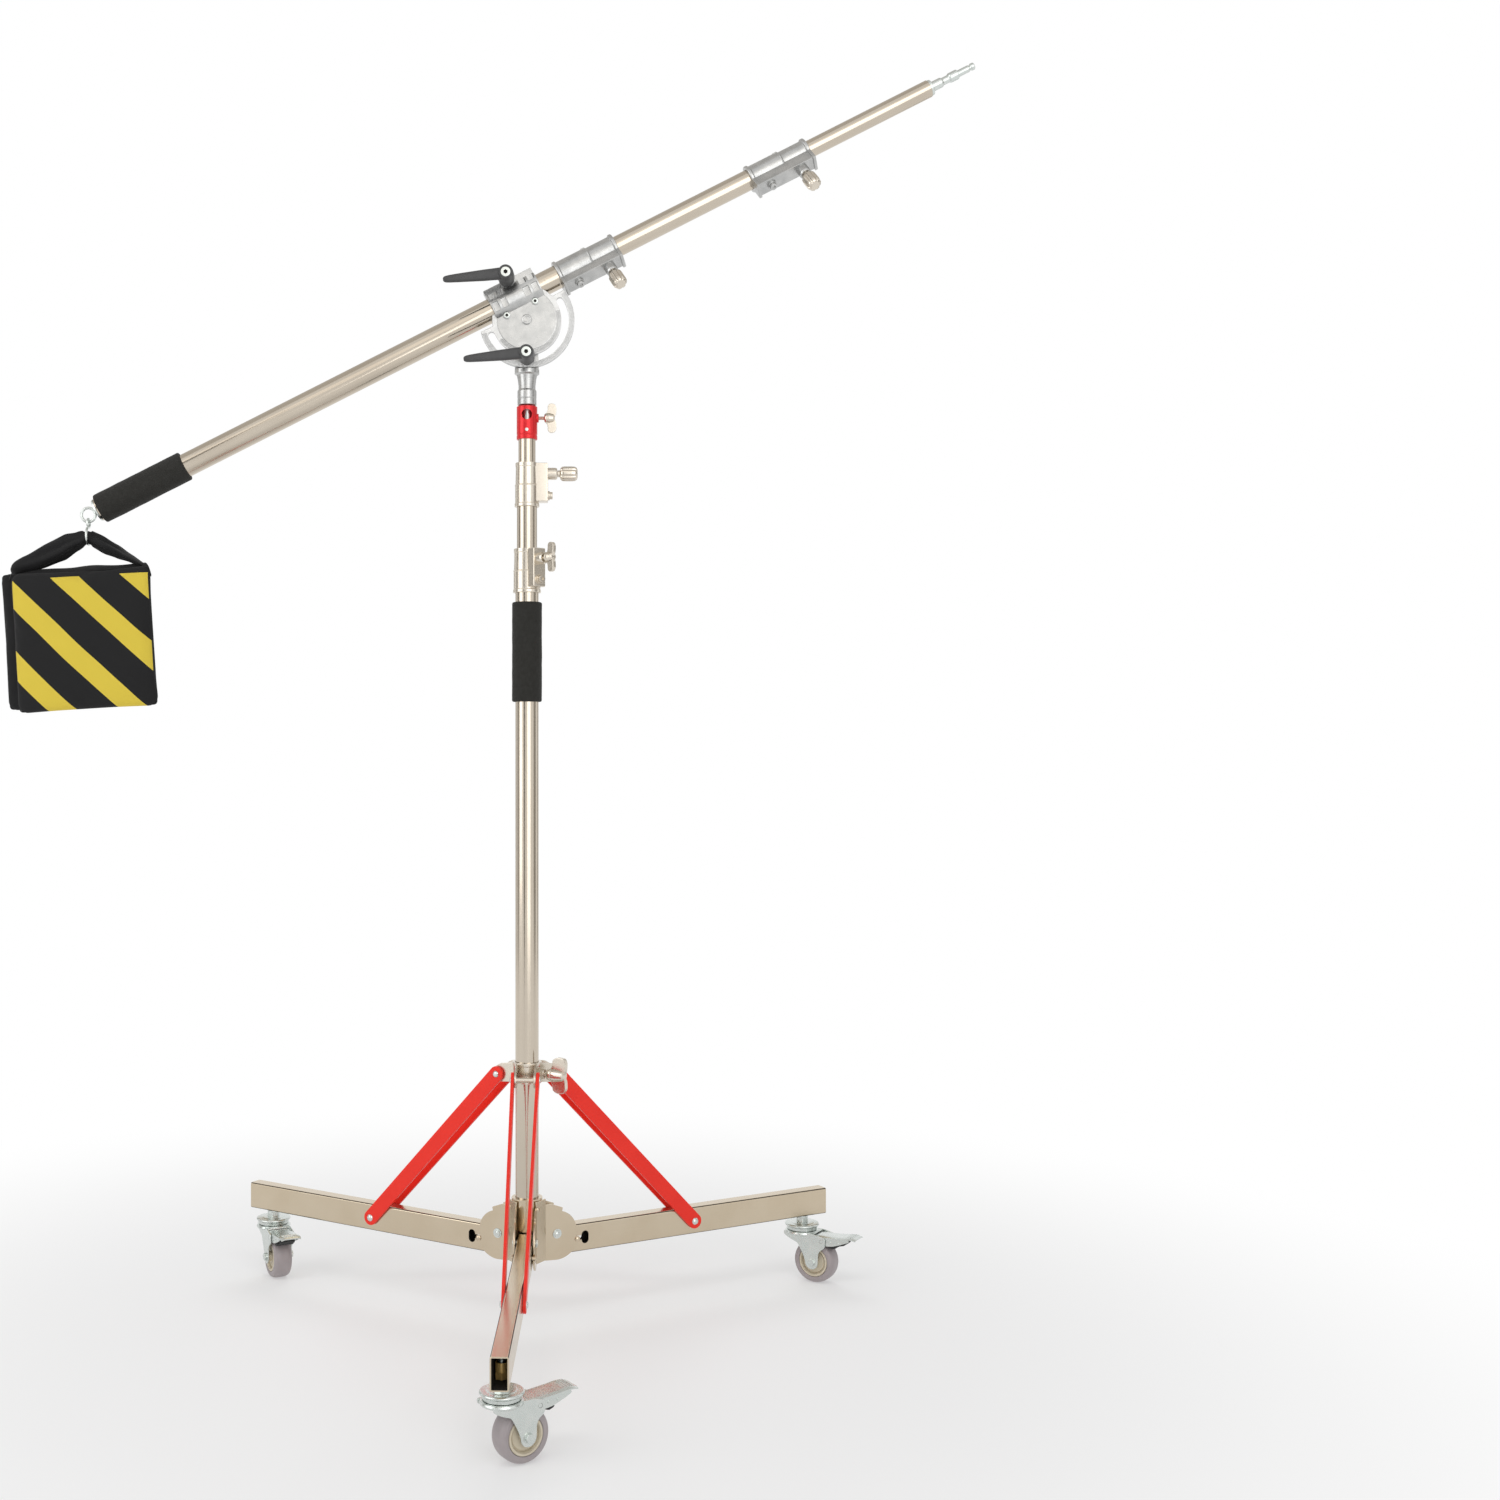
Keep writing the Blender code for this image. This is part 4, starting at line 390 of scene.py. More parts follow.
FOAM = finish("grip_foam", (0.02, 0.0195, 0.017), 0.86, 0.0, (1, 1, 1), 900, 0.08, 0.85, 0.0005,
              (0.028, 0.0275, 0.025), 160.0, 0.6, "cells", sheen=0.06, gloss=0.25)
BLACK = finish("lever_plastic", (0.042, 0.042, 0.043), 0.42, 0.0, (1, 1, 1), 1200, 0.1, 0.3, 0.0001,
               (0.055, 0.055, 0.056), 70.0, 0.5)
TREAD = finish("grey_tread", (0.34, 0.3, 0.305), 0.42, 0.0, (1, 1, 1), 350, 0.08, 0.1, 0.0001,
               (0.39, 0.345, 0.35), 45.0, 0.6)
CREAM = finish("wheel_centre", (0.6, 0.53, 0.4), 0.42, 0.0, (1, 1, 1), 420, 0.06, 0.08, 0.0001,
               (0.66, 0.6, 0.48), 60.0, 0.5)
BRASS = finish("brass_bush", (0.8, 0.52, 0.17), 0.3, 0.35, (1, 1, 0.1), 500, 0.06, 0.08, 0.0001,
               (0.66, 0.42, 0.13), 80.0, 0.5)
# Near-black painted shade for the insides of the leg tubes and the screw sockets, where only shade falls
PAINTED_SHADE = finish("painted_shade_inside", (0.014, 0.01, 0.008), 0.75, 0.0, (1, 1, 1), 200, 0.05, 0.05, 0.0001,
              (0.016, 0.014, 0.013), 50.0, 0.5)
RUBBER = finish("black_rubber", (0.02, 0.02, 0.021), 0.62, 0.0, (1, 1, 1), 500, 0.08, 0.25, 0.0001,
                (0.03, 0.03, 0.031), 90.0, 0.5)


# Putting pieces in place

def piece(name, mesh, paints, matrix, body, nodes=(), angle=32.0):
    """Name a piece, stand it in its frame and hang it on its body; it stands for the CAD nodes given."""
    paints = paints if isinstance(paints, (list, tuple)) else [paints]
    for paint in paints:
        mesh.materials.append(paint)
    mesh.shade_smooth()
    mesh.set_sharp_from_angle(angle=math.radians(angle))
    thing = linked(name, mesh)
    thing.matrix_world = matrix
    even = thing.modifiers.new("even", "WEIGHTED_NORMAL")
    even.keep_sharp = True
    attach(thing, body)
    if nodes:
        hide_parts(*([nodes] if isinstance(nodes, str) else nodes))
    return thing


def marked(mesh, index, test):
    """Give the faces whose middle passes a test another material slot."""
    for face in mesh.polygons:
        if test(face.center, face.normal):
            face.material_index = index
    return mesh


low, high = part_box("column_tube_1")
ROOT = at((low.x + high.x) / 2, (low.y + high.y) / 2, 0.0)
LEGS = {side: ROOT @ spin(azimuth - 90, "Z") for side, azimuth in AZIMUTHS.items()}
PIVOT = ROOT @ at(0, 0, PIVOT_HEIGHT)
TILTED = PIVOT @ spin(-BOOM_ANGLE, "Y")
BOOM = TILTED @ at(0, 0, BOOM_LIFT) @ spin(90, "Y")
TAIL = BOOM @ at(0, 0, -BOOM_TAIL) @ spin(180, "X")


# Small shapes

def headed_bolt(half_grip, radius, head, shoulder=1.5):
    """A riveted bolt along Y, with a washer and a domed head at each end."""
    parts = [rod(radius, (0, -half_grip, 0), (0, half_grip, 0))]
    dome = [(0, head), (radius * 0.55, head * 0.97), (radius * 1.1, head * 0.72),
            (radius * shoulder, head * 0.22), (radius * shoulder, 0), (0, 0)]
    for side in (-1, 1):
        parts.append(turned(dome, (0, side * half_grip, 0), (0, side, 0), 32, 0.0004))
    return gathered(*parts)


def pivot_bolt(half_grip, radius):
    """A leg's pivot: washer, domed nut and the screw's slotted end."""
    parts = [rod(radius, (0, -half_grip, 0), (0, half_grip, 0))]
    washer = [(0, 0), (0.0078, 0), (0.0078, 0.0007), (0, 0.0007)]
    for side in (-1, 1):
        parts.append(turned(washer, (0, side * half_grip, 0), (0, side, 0), 40, 0.0002))
        parts.append(hexagon(0.0062, 0.0017, (0, side * (half_grip + 0.0007), 0), (0, side, 0), 0.0003))
        cap = [(0, 0.0033), (0.0018, 0.0031), (0.0034, 0.0024), (0.0034, 0.0004), (0, 0.0004)]
        parts.append(turned(cap, (0, side * half_grip, 0), (0, side, 0), 24, 0.0003))
    return gathered(*parts)


def socket_screw(radius, height, point, axis, key=0.0028):
    """A round headed screw with a hexagon socket, standing on a point."""
    head = lathe([(0, 0), (radius, 0), (radius, height), (0, height)], 40, soft=0.0007)
    head = cut(head, rod(key, (0, 0, height * 0.45), (0, 0, height + 0.005), 6))
    return aimed(head, point, axis)


def wing_knob(tip, back, half, screw=0.003, hub=0.0085, reach=0.017):
    """Bowed wing knob along X: threaded screw, ribbed barrel and two ears."""
    end = back + reach
    outline = [(0, back), (hub * 0.72, back), (hub * 0.86, back + 0.0012), (hub, back + reach * 0.18),
               (hub, back + reach * 0.26), (hub * 0.93, back + reach * 0.3), (hub, back + reach * 0.34),
               (hub, back + reach * 0.5), (hub * 0.8, end - 0.002), (hub * 0.5, end), (0, end)]
    barrel = turned(outline, (0, 0, 0), (1, 0, 0), 48, 0.0006)
    root, tall = hub * 0.7, half - hub * 0.4
    ear = [(back + reach * 0.12, -root * 0.2), (back + reach * 0.15, root), (back + reach * 0.32, tall * 0.6),
           (back + reach * 0.33, tall), (back + reach * 0.58, half), (end - 0.0004, half * 0.96),
           (end + 0.003, half * 0.72), (end + 0.0024, tall * 0.35), (end - 0.0016, -root * 0.2)]
    ear = rounded(ear, 0.0032, 4, True)
    thick = hub * 0.38
    up = prism(ear, -thick, thick, 0.0009)
    return gathered(joined(barrel, up, mirrored(up, (0, 0, 1))),
                    thread(screw, (tip, 0, 0), (back + 0.001, 0, 0)))


def fluted_knob(tube_radius):
    """Clamp knob along X with seven flutes, on a threaded screw with a collar."""
    rings = []
    stations = [(0.0, 0.5), (0.0004, 0.6), (0.0016, 0.8), (0.0042, 0.96), (0.008, 1.0), (0.02, 1.0),
                (0.0245, 0.96), (0.0274, 0.82), (0.0286, 0.64), (0.029, 0.5)]
    for out, share in stations:
        ring, deep = [], min(1.0, max(0.0, (share - 0.6) / 0.3))
        for angle in turns(84):
            radius = share * 0.012 - 0.0016 * max(0.0, math.cos(7 * angle)) ** 0.7 * deep
            ring.append((KNOB_BACK + out, radius * math.cos(angle), radius * math.sin(angle)))
        rings.append(ring)
    neck = rod(0.0056, (BOSS_OUT + GAP, 0, 0), (KNOB_BACK + 0.001, 0, 0), soft=0.0005)
    return gathered(loft(rings), neck, thread(0.003, (tube_radius + 2 * GAP, 0, 0), (BOSS_OUT + 0.001, 0, 0)))


def clamp(radius, upper, length, seat, wall, step, knob_at, screw_at, rims, lug_from):
    """Cast clamp up Z: beaded sleeve, split lug with its boss, and the fixed screw on +X."""
    wide, slim = radius + wall, upper + wall + 0.0012
    if rims:
        outline = [(0, 0), (wide + 0.0016, 0), (wide + 0.0025, 0.0012), (wide + 0.0025, 0.0048),
                   (wide + 0.0012, 0.0058), (wide, 0.0066), (wide, step - 0.001), (wide + 0.0006, step),
                   (slim + 0.0004, step + 0.0014), (slim, step + 0.0022), (slim, length - 0.0066),
                   (slim + 0.0014, length - 0.0058), (slim + 0.0025, length - 0.0048),
                   (slim + 0.0025, length - 0.001), (slim + 0.0014, length)]
    else:
        outline = [(0, 0), (wide - 0.0003, 0), (wide, 0.0006), (wide, 0.005), (wide - 0.0008, 0.0058),
                   (wide - 0.0008, step - 0.0015), (wide - 0.0002, step - 0.0008),
                   (wide - 0.0002, step + 0.0004), (slim, step + 0.001), (slim - 0.0006, length - 0.0068),
                   (slim, length - 0.0058), (slim, length)]
    outline.append((0, length))
    lug = block((0, -LUG_HALF, lug_from), (LUG_REACH, LUG_HALF, length - 0.0005), 0.0018)
    boss = [(0, 0), (0.0098, 0), (0.0098, BOSS_OUT - LUG_REACH - 0.001),
            (0.0085, BOSS_OUT - LUG_REACH + 0.002), (0, BOSS_OUT - LUG_REACH + 0.002)]
    tools = [lug, turned(boss, (LUG_REACH - 0.002, 0, knob_at), (1, 0, 0), 40, 0.0006)]
    if rims:
        for bottom, top in ((0.0002, 0.0056), (length - 0.0056, length - 0.0002)):
            tools.append(block((0, -LUG_HALF - 0.002, bottom), (LUG_REACH + 0.002, LUG_HALF + 0.002, top),
                               0.0014))
        bar = block((-0.0022, -wide - 0.001, step - 0.006), (0.0022, -wide + 0.003, step + 0.001), 0.0006)
        tools.append(moved(bar, spin(-50, "Z")))
    tools.append(rod(0.0075, (LUG_REACH - 0.002, 0, screw_at), (LUG_REACH + 0.003, 0, screw_at), 40, 0.0008))
    bore = lathe([(0, -0.01), (radius + GAP, -0.01), (radius + GAP, seat), (upper + SLIDE, seat),
                  (upper + SLIDE, length + 0.01), (0, length + 0.01)], 64)
    slit = block((radius, -0.0005, lug_from + 0.004), (LUG_REACH - 0.004, 0.0005, length + 0.001))
    hole = rod(0.0033, (0, 0, knob_at), (BOSS_OUT + 0.01, 0, knob_at), 20)
    body = cut(joined(lathe(outline, 72, soft=0.0005), *tools), bore, hole, slit)
    screw = socket_screw(0.006, 0.0045, (LUG_REACH + 0.003, 0, screw_at), (1, 0, 0), 0.003)
    return gathered(body, screw)


def pipe(radius, bottom, top):
    inner = radius - WALL
    return lathe([(radius, top), (radius, bottom), (inner, bottom), (inner, top)], 96, True, 0.0004)


def grip(radius, length):
    """Foam sleeve with soft ends and a slightly uneven skin."""
    outer = radius + 0.0055
    outline = [(radius + GAP, length - 0.0004), (outer - 0.0022, length), (outer - 0.0007, length - 0.0007),
               (outer, length - 0.0026)]
    outline += [(outer, length * (1 - k / 44)) for k in range(1, 43)]
    outline += [(outer, 0.0026), (outer - 0.0007, 0.0007), (outer - 0.0022, 0), (radius + GAP, 0.0004)]
    mesh = lathe(outline, 96, True)
    for vert in mesh.vertices:
        away = Vector((vert.co.x, vert.co.y, 0))
        if away.length > radius + 0.003:
            lump = noise.noise(vert.co * 55.0) * 0.00035 + noise.noise(vert.co * 210.0) * 0.00012
            vert.co -= away.normalized() * (0.0003 - lump if lump < 0.0003 else 0.0)
    return mesh


# Base

def box_tube(start, end):
    """Rectangular leg tube along X with rounded corners, open at both ends."""
    def section(inset, radius):
        half, top, bottom = LEG_W / 2 - inset, LEG_DROP - inset, LEG_DROP - LEG_H + inset
        corners = [(half, top, 0), (-half, top, 90), (-half, bottom, 180), (half, bottom, 270)]
        points = []
        for y, z, first in corners:
            cy, cz = y - math.copysign(radius, y), z - (radius if z == top else -radius)
            points += arc(cy, cz, radius, first, first + 90, 6)
        return points

    outer, lip, inner = section(0.0, 0.003), section(0.0004, 0.0026), section(LEG_WALL, 0.001)
    rings = [(lip, start), (outer, start + 0.0004), (outer, end - 0.0004), (lip, end), (inner, end),
             (inner, start)]
    return loft([[(x, y, z) for y, z in points] for points, x in rings], closed=True)


def leg():
    tip = LEG_TIP - PIVOT_R
    slot_half, slot_end, wide = 0.0034, PIN_OUT + 0.02, LEG_W
    slot = [(PIN_OUT - slot_half, -PIN_DROP - slot_half), (slot_end, -PIN_DROP - slot_half),
            (slot_end, -PIN_DROP + slot_half), (PIN_OUT - slot_half, -PIN_DROP + slot_half)]
    middle = slot_end - slot_half
    keyhole = arc(middle, -PIN_DROP + 0.004, 0.0065, 0, 180, 14)
    keyhole += arc(middle, -PIN_DROP - 0.004, 0.0065, 180, 360, 14)
    mesh = cut(
        box_tube(-LEG_BACK, tip),
        rod(0.0043, (0, -wide, 0), (0, wide, 0)),
        rod(0.0043, (STRUT_AT, -wide, -PIN_DROP), (STRUT_AT, wide, -PIN_DROP)),
        prism(slot, -wide, wide), prism(keyhole, -wide, wide),
        rod(0.0063, (tip - SETBACK, 0, -0.038), (tip - SETBACK, 0, -0.031)),
    )
    half, top, bottom = LEG_W / 2 - 0.0004, LEG_DROP - 0.0004, LEG_DROP - LEG_H + 0.0004

    def inside(c, n):
        return abs(c.y) < half and bottom < c.z < top and -LEG_BACK + 0.0004 < c.x < tip - 0.0004
    # The faces inside the tube take the second slot: painted shade inside the tube
    return marked(mesh, 1, inside)


def hub():
    """Sleeve with three bent channels whose cheeks carry the pivots and the pin notches."""
    sleeve = lathe([(0, HUB_LOW), (HUB_R, HUB_LOW), (HUB_R, HUB_TOP), (0, HUB_TOP)], 96, soft=0.0008)
    half = math.radians(60)
    bend = (HUB_FLAT - CHEEK_FACE * math.sin(half)) / math.cos(half)
    shoulder = math.degrees(math.asin(0.0034 / PIN_ORBIT))
    low_stop, high_stop = -PIN_ANGLE - shoulder, 90 - PIN_ANGLE + shoulder
    back = bend - PIVOT_R - 0.0025
    top = (CHEEK_R * math.cos(math.radians(high_stop)), CHEEK_R * math.sin(math.radians(high_stop)))
    outline = [(back, HUB_LOW - PIVOT_Z), (back, 0.0488), (-0.0094, 0.0488), top]
    outline += arc(0, 0, CHEEK_RIM, high_stop, low_stop, 30) + arc(0, 0, CHEEK_R, low_stop, -96, 18)
    outline = rounded(outline, 0.0012, 2, True)
    cheek = cut(prism(outline, CHEEK_FACE - CHEEK, CHEEK_FACE, 0.0005), rod(0.0043, (0, 0, 0), (0, 0.04, 0)))
    cheek.transform(at(PIVOT_R, 0, PIVOT_Z))
    flat_half = bend * math.sin(half) - CHEEK_FACE * math.cos(half) + 0.0005
    flat = block((HUB_R - 0.0006, -flat_half, HUB_LOW + 0.0005), (HUB_FLAT, flat_half, HUB_TOP - 0.003),
                 0.0006)
    parts, screws = [], []
    for azimuth in AZIMUTHS.values():
        for side in (cheek.copy(), mirrored(cheek)):
            parts.append(moved(side, spin(azimuth - 90, "Z")))
        parts.append(moved(flat.copy(), spin(azimuth - 30, "Z")))
        dome = [(0, 0.0026), (0.0016, 0.0024), (0.0034, 0.0014), (0.0042, 0), (0.0042, -0.001), (0, -0.001)]
        slot = block((-0.005, -0.0004, 0.0018), (0.005, 0.0004, 0.004))
        head = cut(lathe(dome, 32, soft=0.0004), slot)
        screw = aimed(head, (HUB_FLAT, -0.0095, HUB_TOP - 0.015), (1, 0, 0))
        screws.append(moved(screw, spin(azimuth - 30, "Z")))
    bore = rod(TUBES[0] + GAP, (0, 0, HUB_LOW + 0.003), (0, 0, HUB_TOP + 0.01), 96)
    return gathered(cut(joined(sleeve, *parts), bore), *screws)


def strut():
    """Two flat bars splayed towards the collar, with rivets at both ends."""
    outline = arc(0, 0, 0.0125, 90, 270, 18) + arc(STRUT_LENGTH, 0, 0.0125, -90, 90, 18)
    bar = prism(outline, STRUT_IN, STRUT_IN + STRUT_SHEET, 0.0007)
    for vert in bar.vertices:
        vert.co.y += STRUT_SPLAY * vert.co.x / STRUT_LENGTH
    return gathered(bar, mirrored(bar))


def strut_rivets():
    outside = STRUT_IN + STRUT_SHEET
    bolt = headed_bolt(outside - GAP, 0.004, 0.0033)
    dome = [(0, 0.003), (0.0022, 0.0029), (0.004, 0.0022), (0.0054, 0.0006), (0.0054, -0.001), (0, -0.001)]
    heads = []
    for side in (-1, 1):
        place = (STRUT_LENGTH, side * (outside + STRUT_SPLAY), 0)
        heads.append(turned(dome, place, (0, side, 0), 32, 0.0004))
    return gathered(bolt, *heads)


def collar():
    """Sliding collar: beaded sleeve, three pairs of ears with their pins, and the screw's boss."""
    bottom, top, outer = COLLAR_LOW, COLLAR_TOP, 0.0236
    profile = [(0, bottom), (outer - 0.0004, bottom), (outer, bottom + 0.0006), (outer, bottom + 0.005),
               (outer - 0.0008, bottom + 0.0058), (outer - 0.0008, top - 0.0058), (outer, top - 0.005),
               (outer, top)]
    start = math.sqrt(outer ** 2 - EAR_FACE ** 2) - 0.003
    ear = [(start, bottom + 0.002), (PIVOT_R, COLLAR_PIVOT - 0.0125)]
    ear += arc(PIVOT_R, COLLAR_PIVOT, 0.0125, -75, 60, 14)
    ear += [(PIVOT_R - 0.006, top - 0.004), (start, top - 0.001)]
    side = prism(rounded(ear, 0.003, 3, True), EAR_FACE - 0.0035, EAR_FACE, 0.0006)
    reach = EAR_FACE - 0.00175
    tools = []
    for azimuth in AZIMUTHS.values():
        pin = rod(0.004, (PIVOT_R, -reach, COLLAR_PIVOT), (PIVOT_R, reach, COLLAR_PIVOT))
        for part in (side.copy(), mirrored(side), pin):
            tools.append(moved(part, spin(azimuth - 90, "Z")))
    mid = (bottom + top) / 2
    boss = rod(0.009, (outer - 0.003, 0, mid), (outer + 0.013, 0, mid), 48, 0.0008)
    tools.append(moved(boss, spin(COLLAR_TURN, "Z")))
    bore = rod(TUBES[0] + SLIDE, (0, 0, bottom - 0.01), (0, 0, top + 0.01), 96)
    hole = moved(rod(0.0043, (0, 0, mid), (outer + 0.02, 0, mid)), spin(COLLAR_TURN, "Z"))
    return cut(joined(lathe(profile + [(0, top)], 96, soft=0.0005), *tools), bore, hole)


# Casters, up Z from the floor under their swivel

def stem():
    """Bearing race, nut, washer and the threaded stem in the leg."""
    base = RACE_LOW
    dish = [(0, RACE_TOP), (0.019, RACE_TOP), (0.021, RACE_TOP - 0.0006),
            (RACE_R - 0.0015, RACE_TOP - 0.0008), (RACE_R, RACE_TOP - 0.0024), (RACE_R, RACE_TOP - 0.004),
            (RACE_R - 0.0012, RACE_TOP - 0.0052), (RACE_R - 0.003, RACE_TOP - 0.0062), (RACE_R - 0.004, base),
            (0, base)]
    nut = hexagon(0.011, 0.009, (0, 0, RACE_TOP - 0.0003), (0, 0, 1), 0.0008)
    washer = rod(0.0105, (0, 0, RACE_TOP + 0.0088), (0, 0, LEG_LOW - GAP), 40, 0.0003)
    tip = LEG_LOW + 0.036
    return gathered(lathe(dish, 72, soft=0.0006), nut, washer,
                    thread(0.006, (0, 0, RACE_TOP), (0, 0, tip), 0.0012, 32))


def bush():
    """Brass bush and lock nut round the stem, inside the open end of the leg."""
    inside = LEG_LOW + LEG_WALL + GAP
    base, tip = inside + 0.0085, inside + 0.022
    sleeve = lathe([(0.0061, base), (0.0086, base), (0.0086, tip), (0.0061, tip)], 40, True, 0.0006)
    return gathered(hexagon(0.0092, 0.0085, (0, 0, inside), (0, 0, 1), 0.0005), sleeve)


def fork():
    """Pressed swivel fork: domed race cap, curved side plates and the axle bolt."""
    inner = WHEEL_W / 2 + FORK_GAP
    outer, cap_low = inner + FORK_SHEET, FORK_TOP - FORK_CAP
    side = [(-0.025, FORK_TOP - 0.001), (-0.0252, cap_low - 0.0015), (-0.0165, cap_low - 0.007),
            (-0.007, cap_low - 0.011), (0.001, WHEEL_R + 0.031), (0.007, WHEEL_R + 0.021),
            (0.0125, WHEEL_R + 0.0105)]
    side += arc(TRAIL, WHEEL_R, 0.012, 178, 352, 16)
    side += [(TRAIL + 0.0128, WHEEL_R + 0.016), (TRAIL + 0.016, WHEEL_R + 0.022),
             (PEDAL_X + 0.0065, FORK_TOP - 0.023), (PEDAL_X + 0.0085, FORK_TOP - 0.006),
             (TRAIL + 0.006, FORK_TOP - 0.0012)]
    side = rounded(side, 0.004, 3, True)
    plates = [prism(side, inner, outer, 0.0006), prism(side, -outer, -inner, 0.0006)]
    rim = [(0, cap_low - 0.0006), (RACE_R - 0.0026, cap_low - 0.0006), (RACE_R - 0.0006, cap_low + 0.0006),
           (RACE_R - 0.0002, cap_low + 0.0024), (RACE_R - 0.0012, FORK_TOP - 0.0008),
           (RACE_R - 0.003, FORK_TOP), (0, FORK_TOP)]
    cap = lathe(rim, 72, soft=0.0006)
    bridge = block((-0.023, -outer + 0.0005, cap_low), (0.03, outer - 0.0005, FORK_TOP - 0.0015), 0.001)
    pivot = rod(0.0033, (PEDAL_X, -0.05, PEDAL_Z), (PEDAL_X, 0.05, PEDAL_Z), 24)
    body = cut(joined(bridge, cap, *plates), pivot)
    axle = [rod(0.004, (TRAIL, -outer - 0.001, WHEEL_R), (TRAIL, outer + 0.001, WHEEL_R), 24)]
    for s in (-1, 1):
        axle.append(rod(0.0078, (TRAIL, s * (outer - 0.0004), WHEEL_R),
                        (TRAIL, s * (outer + 0.0008), WHEEL_R), 40, 0.0002))
        axle.append(hexagon(0.0066, 0.0034, (TRAIL, s * (outer + 0.0007), WHEEL_R), (0, s, 0), 0.0005))
    axle.append(rod(0.0036, (TRAIL, outer, WHEEL_R), (TRAIL, outer + 0.0045, WHEEL_R), 24, 0.0005))
    return gathered(body, *axle)


def pedal():
    """Stamped brake pedal about its pin: bowed tread with a ribbed end and two rolled flanges."""
    half = WHEEL_W / 2 + FORK_GAP - SLIDE
    top, reach = FORK_TOP - 0.003 - PEDAL_Z, PEDAL_REACH - PEDAL_X
    line = [(-0.0125, -0.001), (-0.004, -0.0002), (0.01, 0.0), (0.02, 0.0006), (0.03, 0.0016), (0.04, 0.003),
            (0.05, 0.004), (0.056, 0.0036), (reach, 0.002)]
    rings = []
    for x, rise in line:
        narrow = 1.0 - 0.1 * max(0.0, (x - 0.045) / (reach - 0.045)) ** 2
        ring = []
        for k in range(13):
            share = -1 + k / 6
            droop = -0.0016 * abs(share) ** 6
            ring.append((x, share * half * narrow, top + rise + droop))
        rings.append(ring + [(px, y, z - 0.0018) for px, y, z in reversed(ring)])
    plate = loft(rings)
    flange = [(-0.0105, top - 0.0022), (-0.007, -0.004), (0.0, -0.0068), (0.01, -0.0072), (0.022, -0.0055),
              (0.04, top - 0.008), (reach - 0.01, top - 0.0025), (0.048, top + 0.0018), (0.012, top - 0.001)]
    flange = rounded(flange, 0.004, 3, True)
    sides = [prism(flange, half - 0.0018, half - 0.0002, 0.0003),
             prism(flange, 0.0002 - half, 0.0018 - half, 0.0003)]
    reach_y = WHEEL_W / 2 + FORK_GAP + FORK_SHEET
    pins = [rod(0.003, (0, -reach_y, 0), (0, reach_y, 0), 24, 0.0004)]
    for x, z in ((0.0155, 0.0005), (0.03, 0.001)):
        pins.append(rod(0.0026, (x, -half - 0.0008, z), (x, half + 0.0008, z), 24, 0.0006))
    ribs = [block((x, -half * 0.7, top + rise), (x + 0.0012, half * 0.7, top + rise + 0.0009), 0.0004)
            for x, rise in ((0.044, 0.003), (0.0475, 0.0034), (0.051, 0.0036), (0.0545, 0.0033))]
    return gathered(plate, *sides, *pins, *ribs)


def brake_pad():
    """The brake's black pad, between the pedal's flanges over the wheel."""
    pad = [(0.0095, 0.004), (0.0105, -0.0095), (0.018, -0.012), (0.026, -0.009), (0.027, 0.003)]
    tail = [(0.025, 0.0), (0.027, -0.0065), (0.04, -0.003), (0.043, 0.0015), (0.036, 0.004)]
    return gathered(prism(rounded(pad, 0.002, 3, True), -0.015, 0.015, 0.0008),
                    prism(rounded(tail, 0.0015, 3, True), -0.0125, 0.0125, 0.0006))


def tyre():
    r, w, inner = WHEEL_R, WHEEL_W / 2, CORE_R + GAP
    half = [(inner, 0.0), (inner, w - 0.0002), (r - 0.006, w), (r - 0.003, w - 0.0012),
            (r - 0.001, w - 0.0046), (r, w - 0.0092), (r, 0.0)]
    outline = half + [(x, -y) for x, y in reversed(half[1:-1])]
    return lathe(outline, 128, True, 0.0022, spin(90, "X"))


def core():
    """Wheel centre about Y: rim bead, groove, dished web and hub."""
    r, w = CORE_R, WHEEL_W / 2
    hub_w = w + FORK_GAP - 0.0006
    half = [(0.0043, hub_w), (0.0078, hub_w), (0.0088, w - 0.003), (r - 0.0068, w - 0.0046),
            (r - 0.0062, w - 0.0062), (r - 0.0052, w - 0.0062), (r - 0.0046, w - 0.003),
            (r - 0.003, w - 0.0004), (r - 0.0006, w - 0.0006), (r, w - 0.0012)]
    outline = half + [(x, -y) for x, y in reversed(half)]
    return lathe(outline, 128, True, 0.0006, spin(90, "X"))


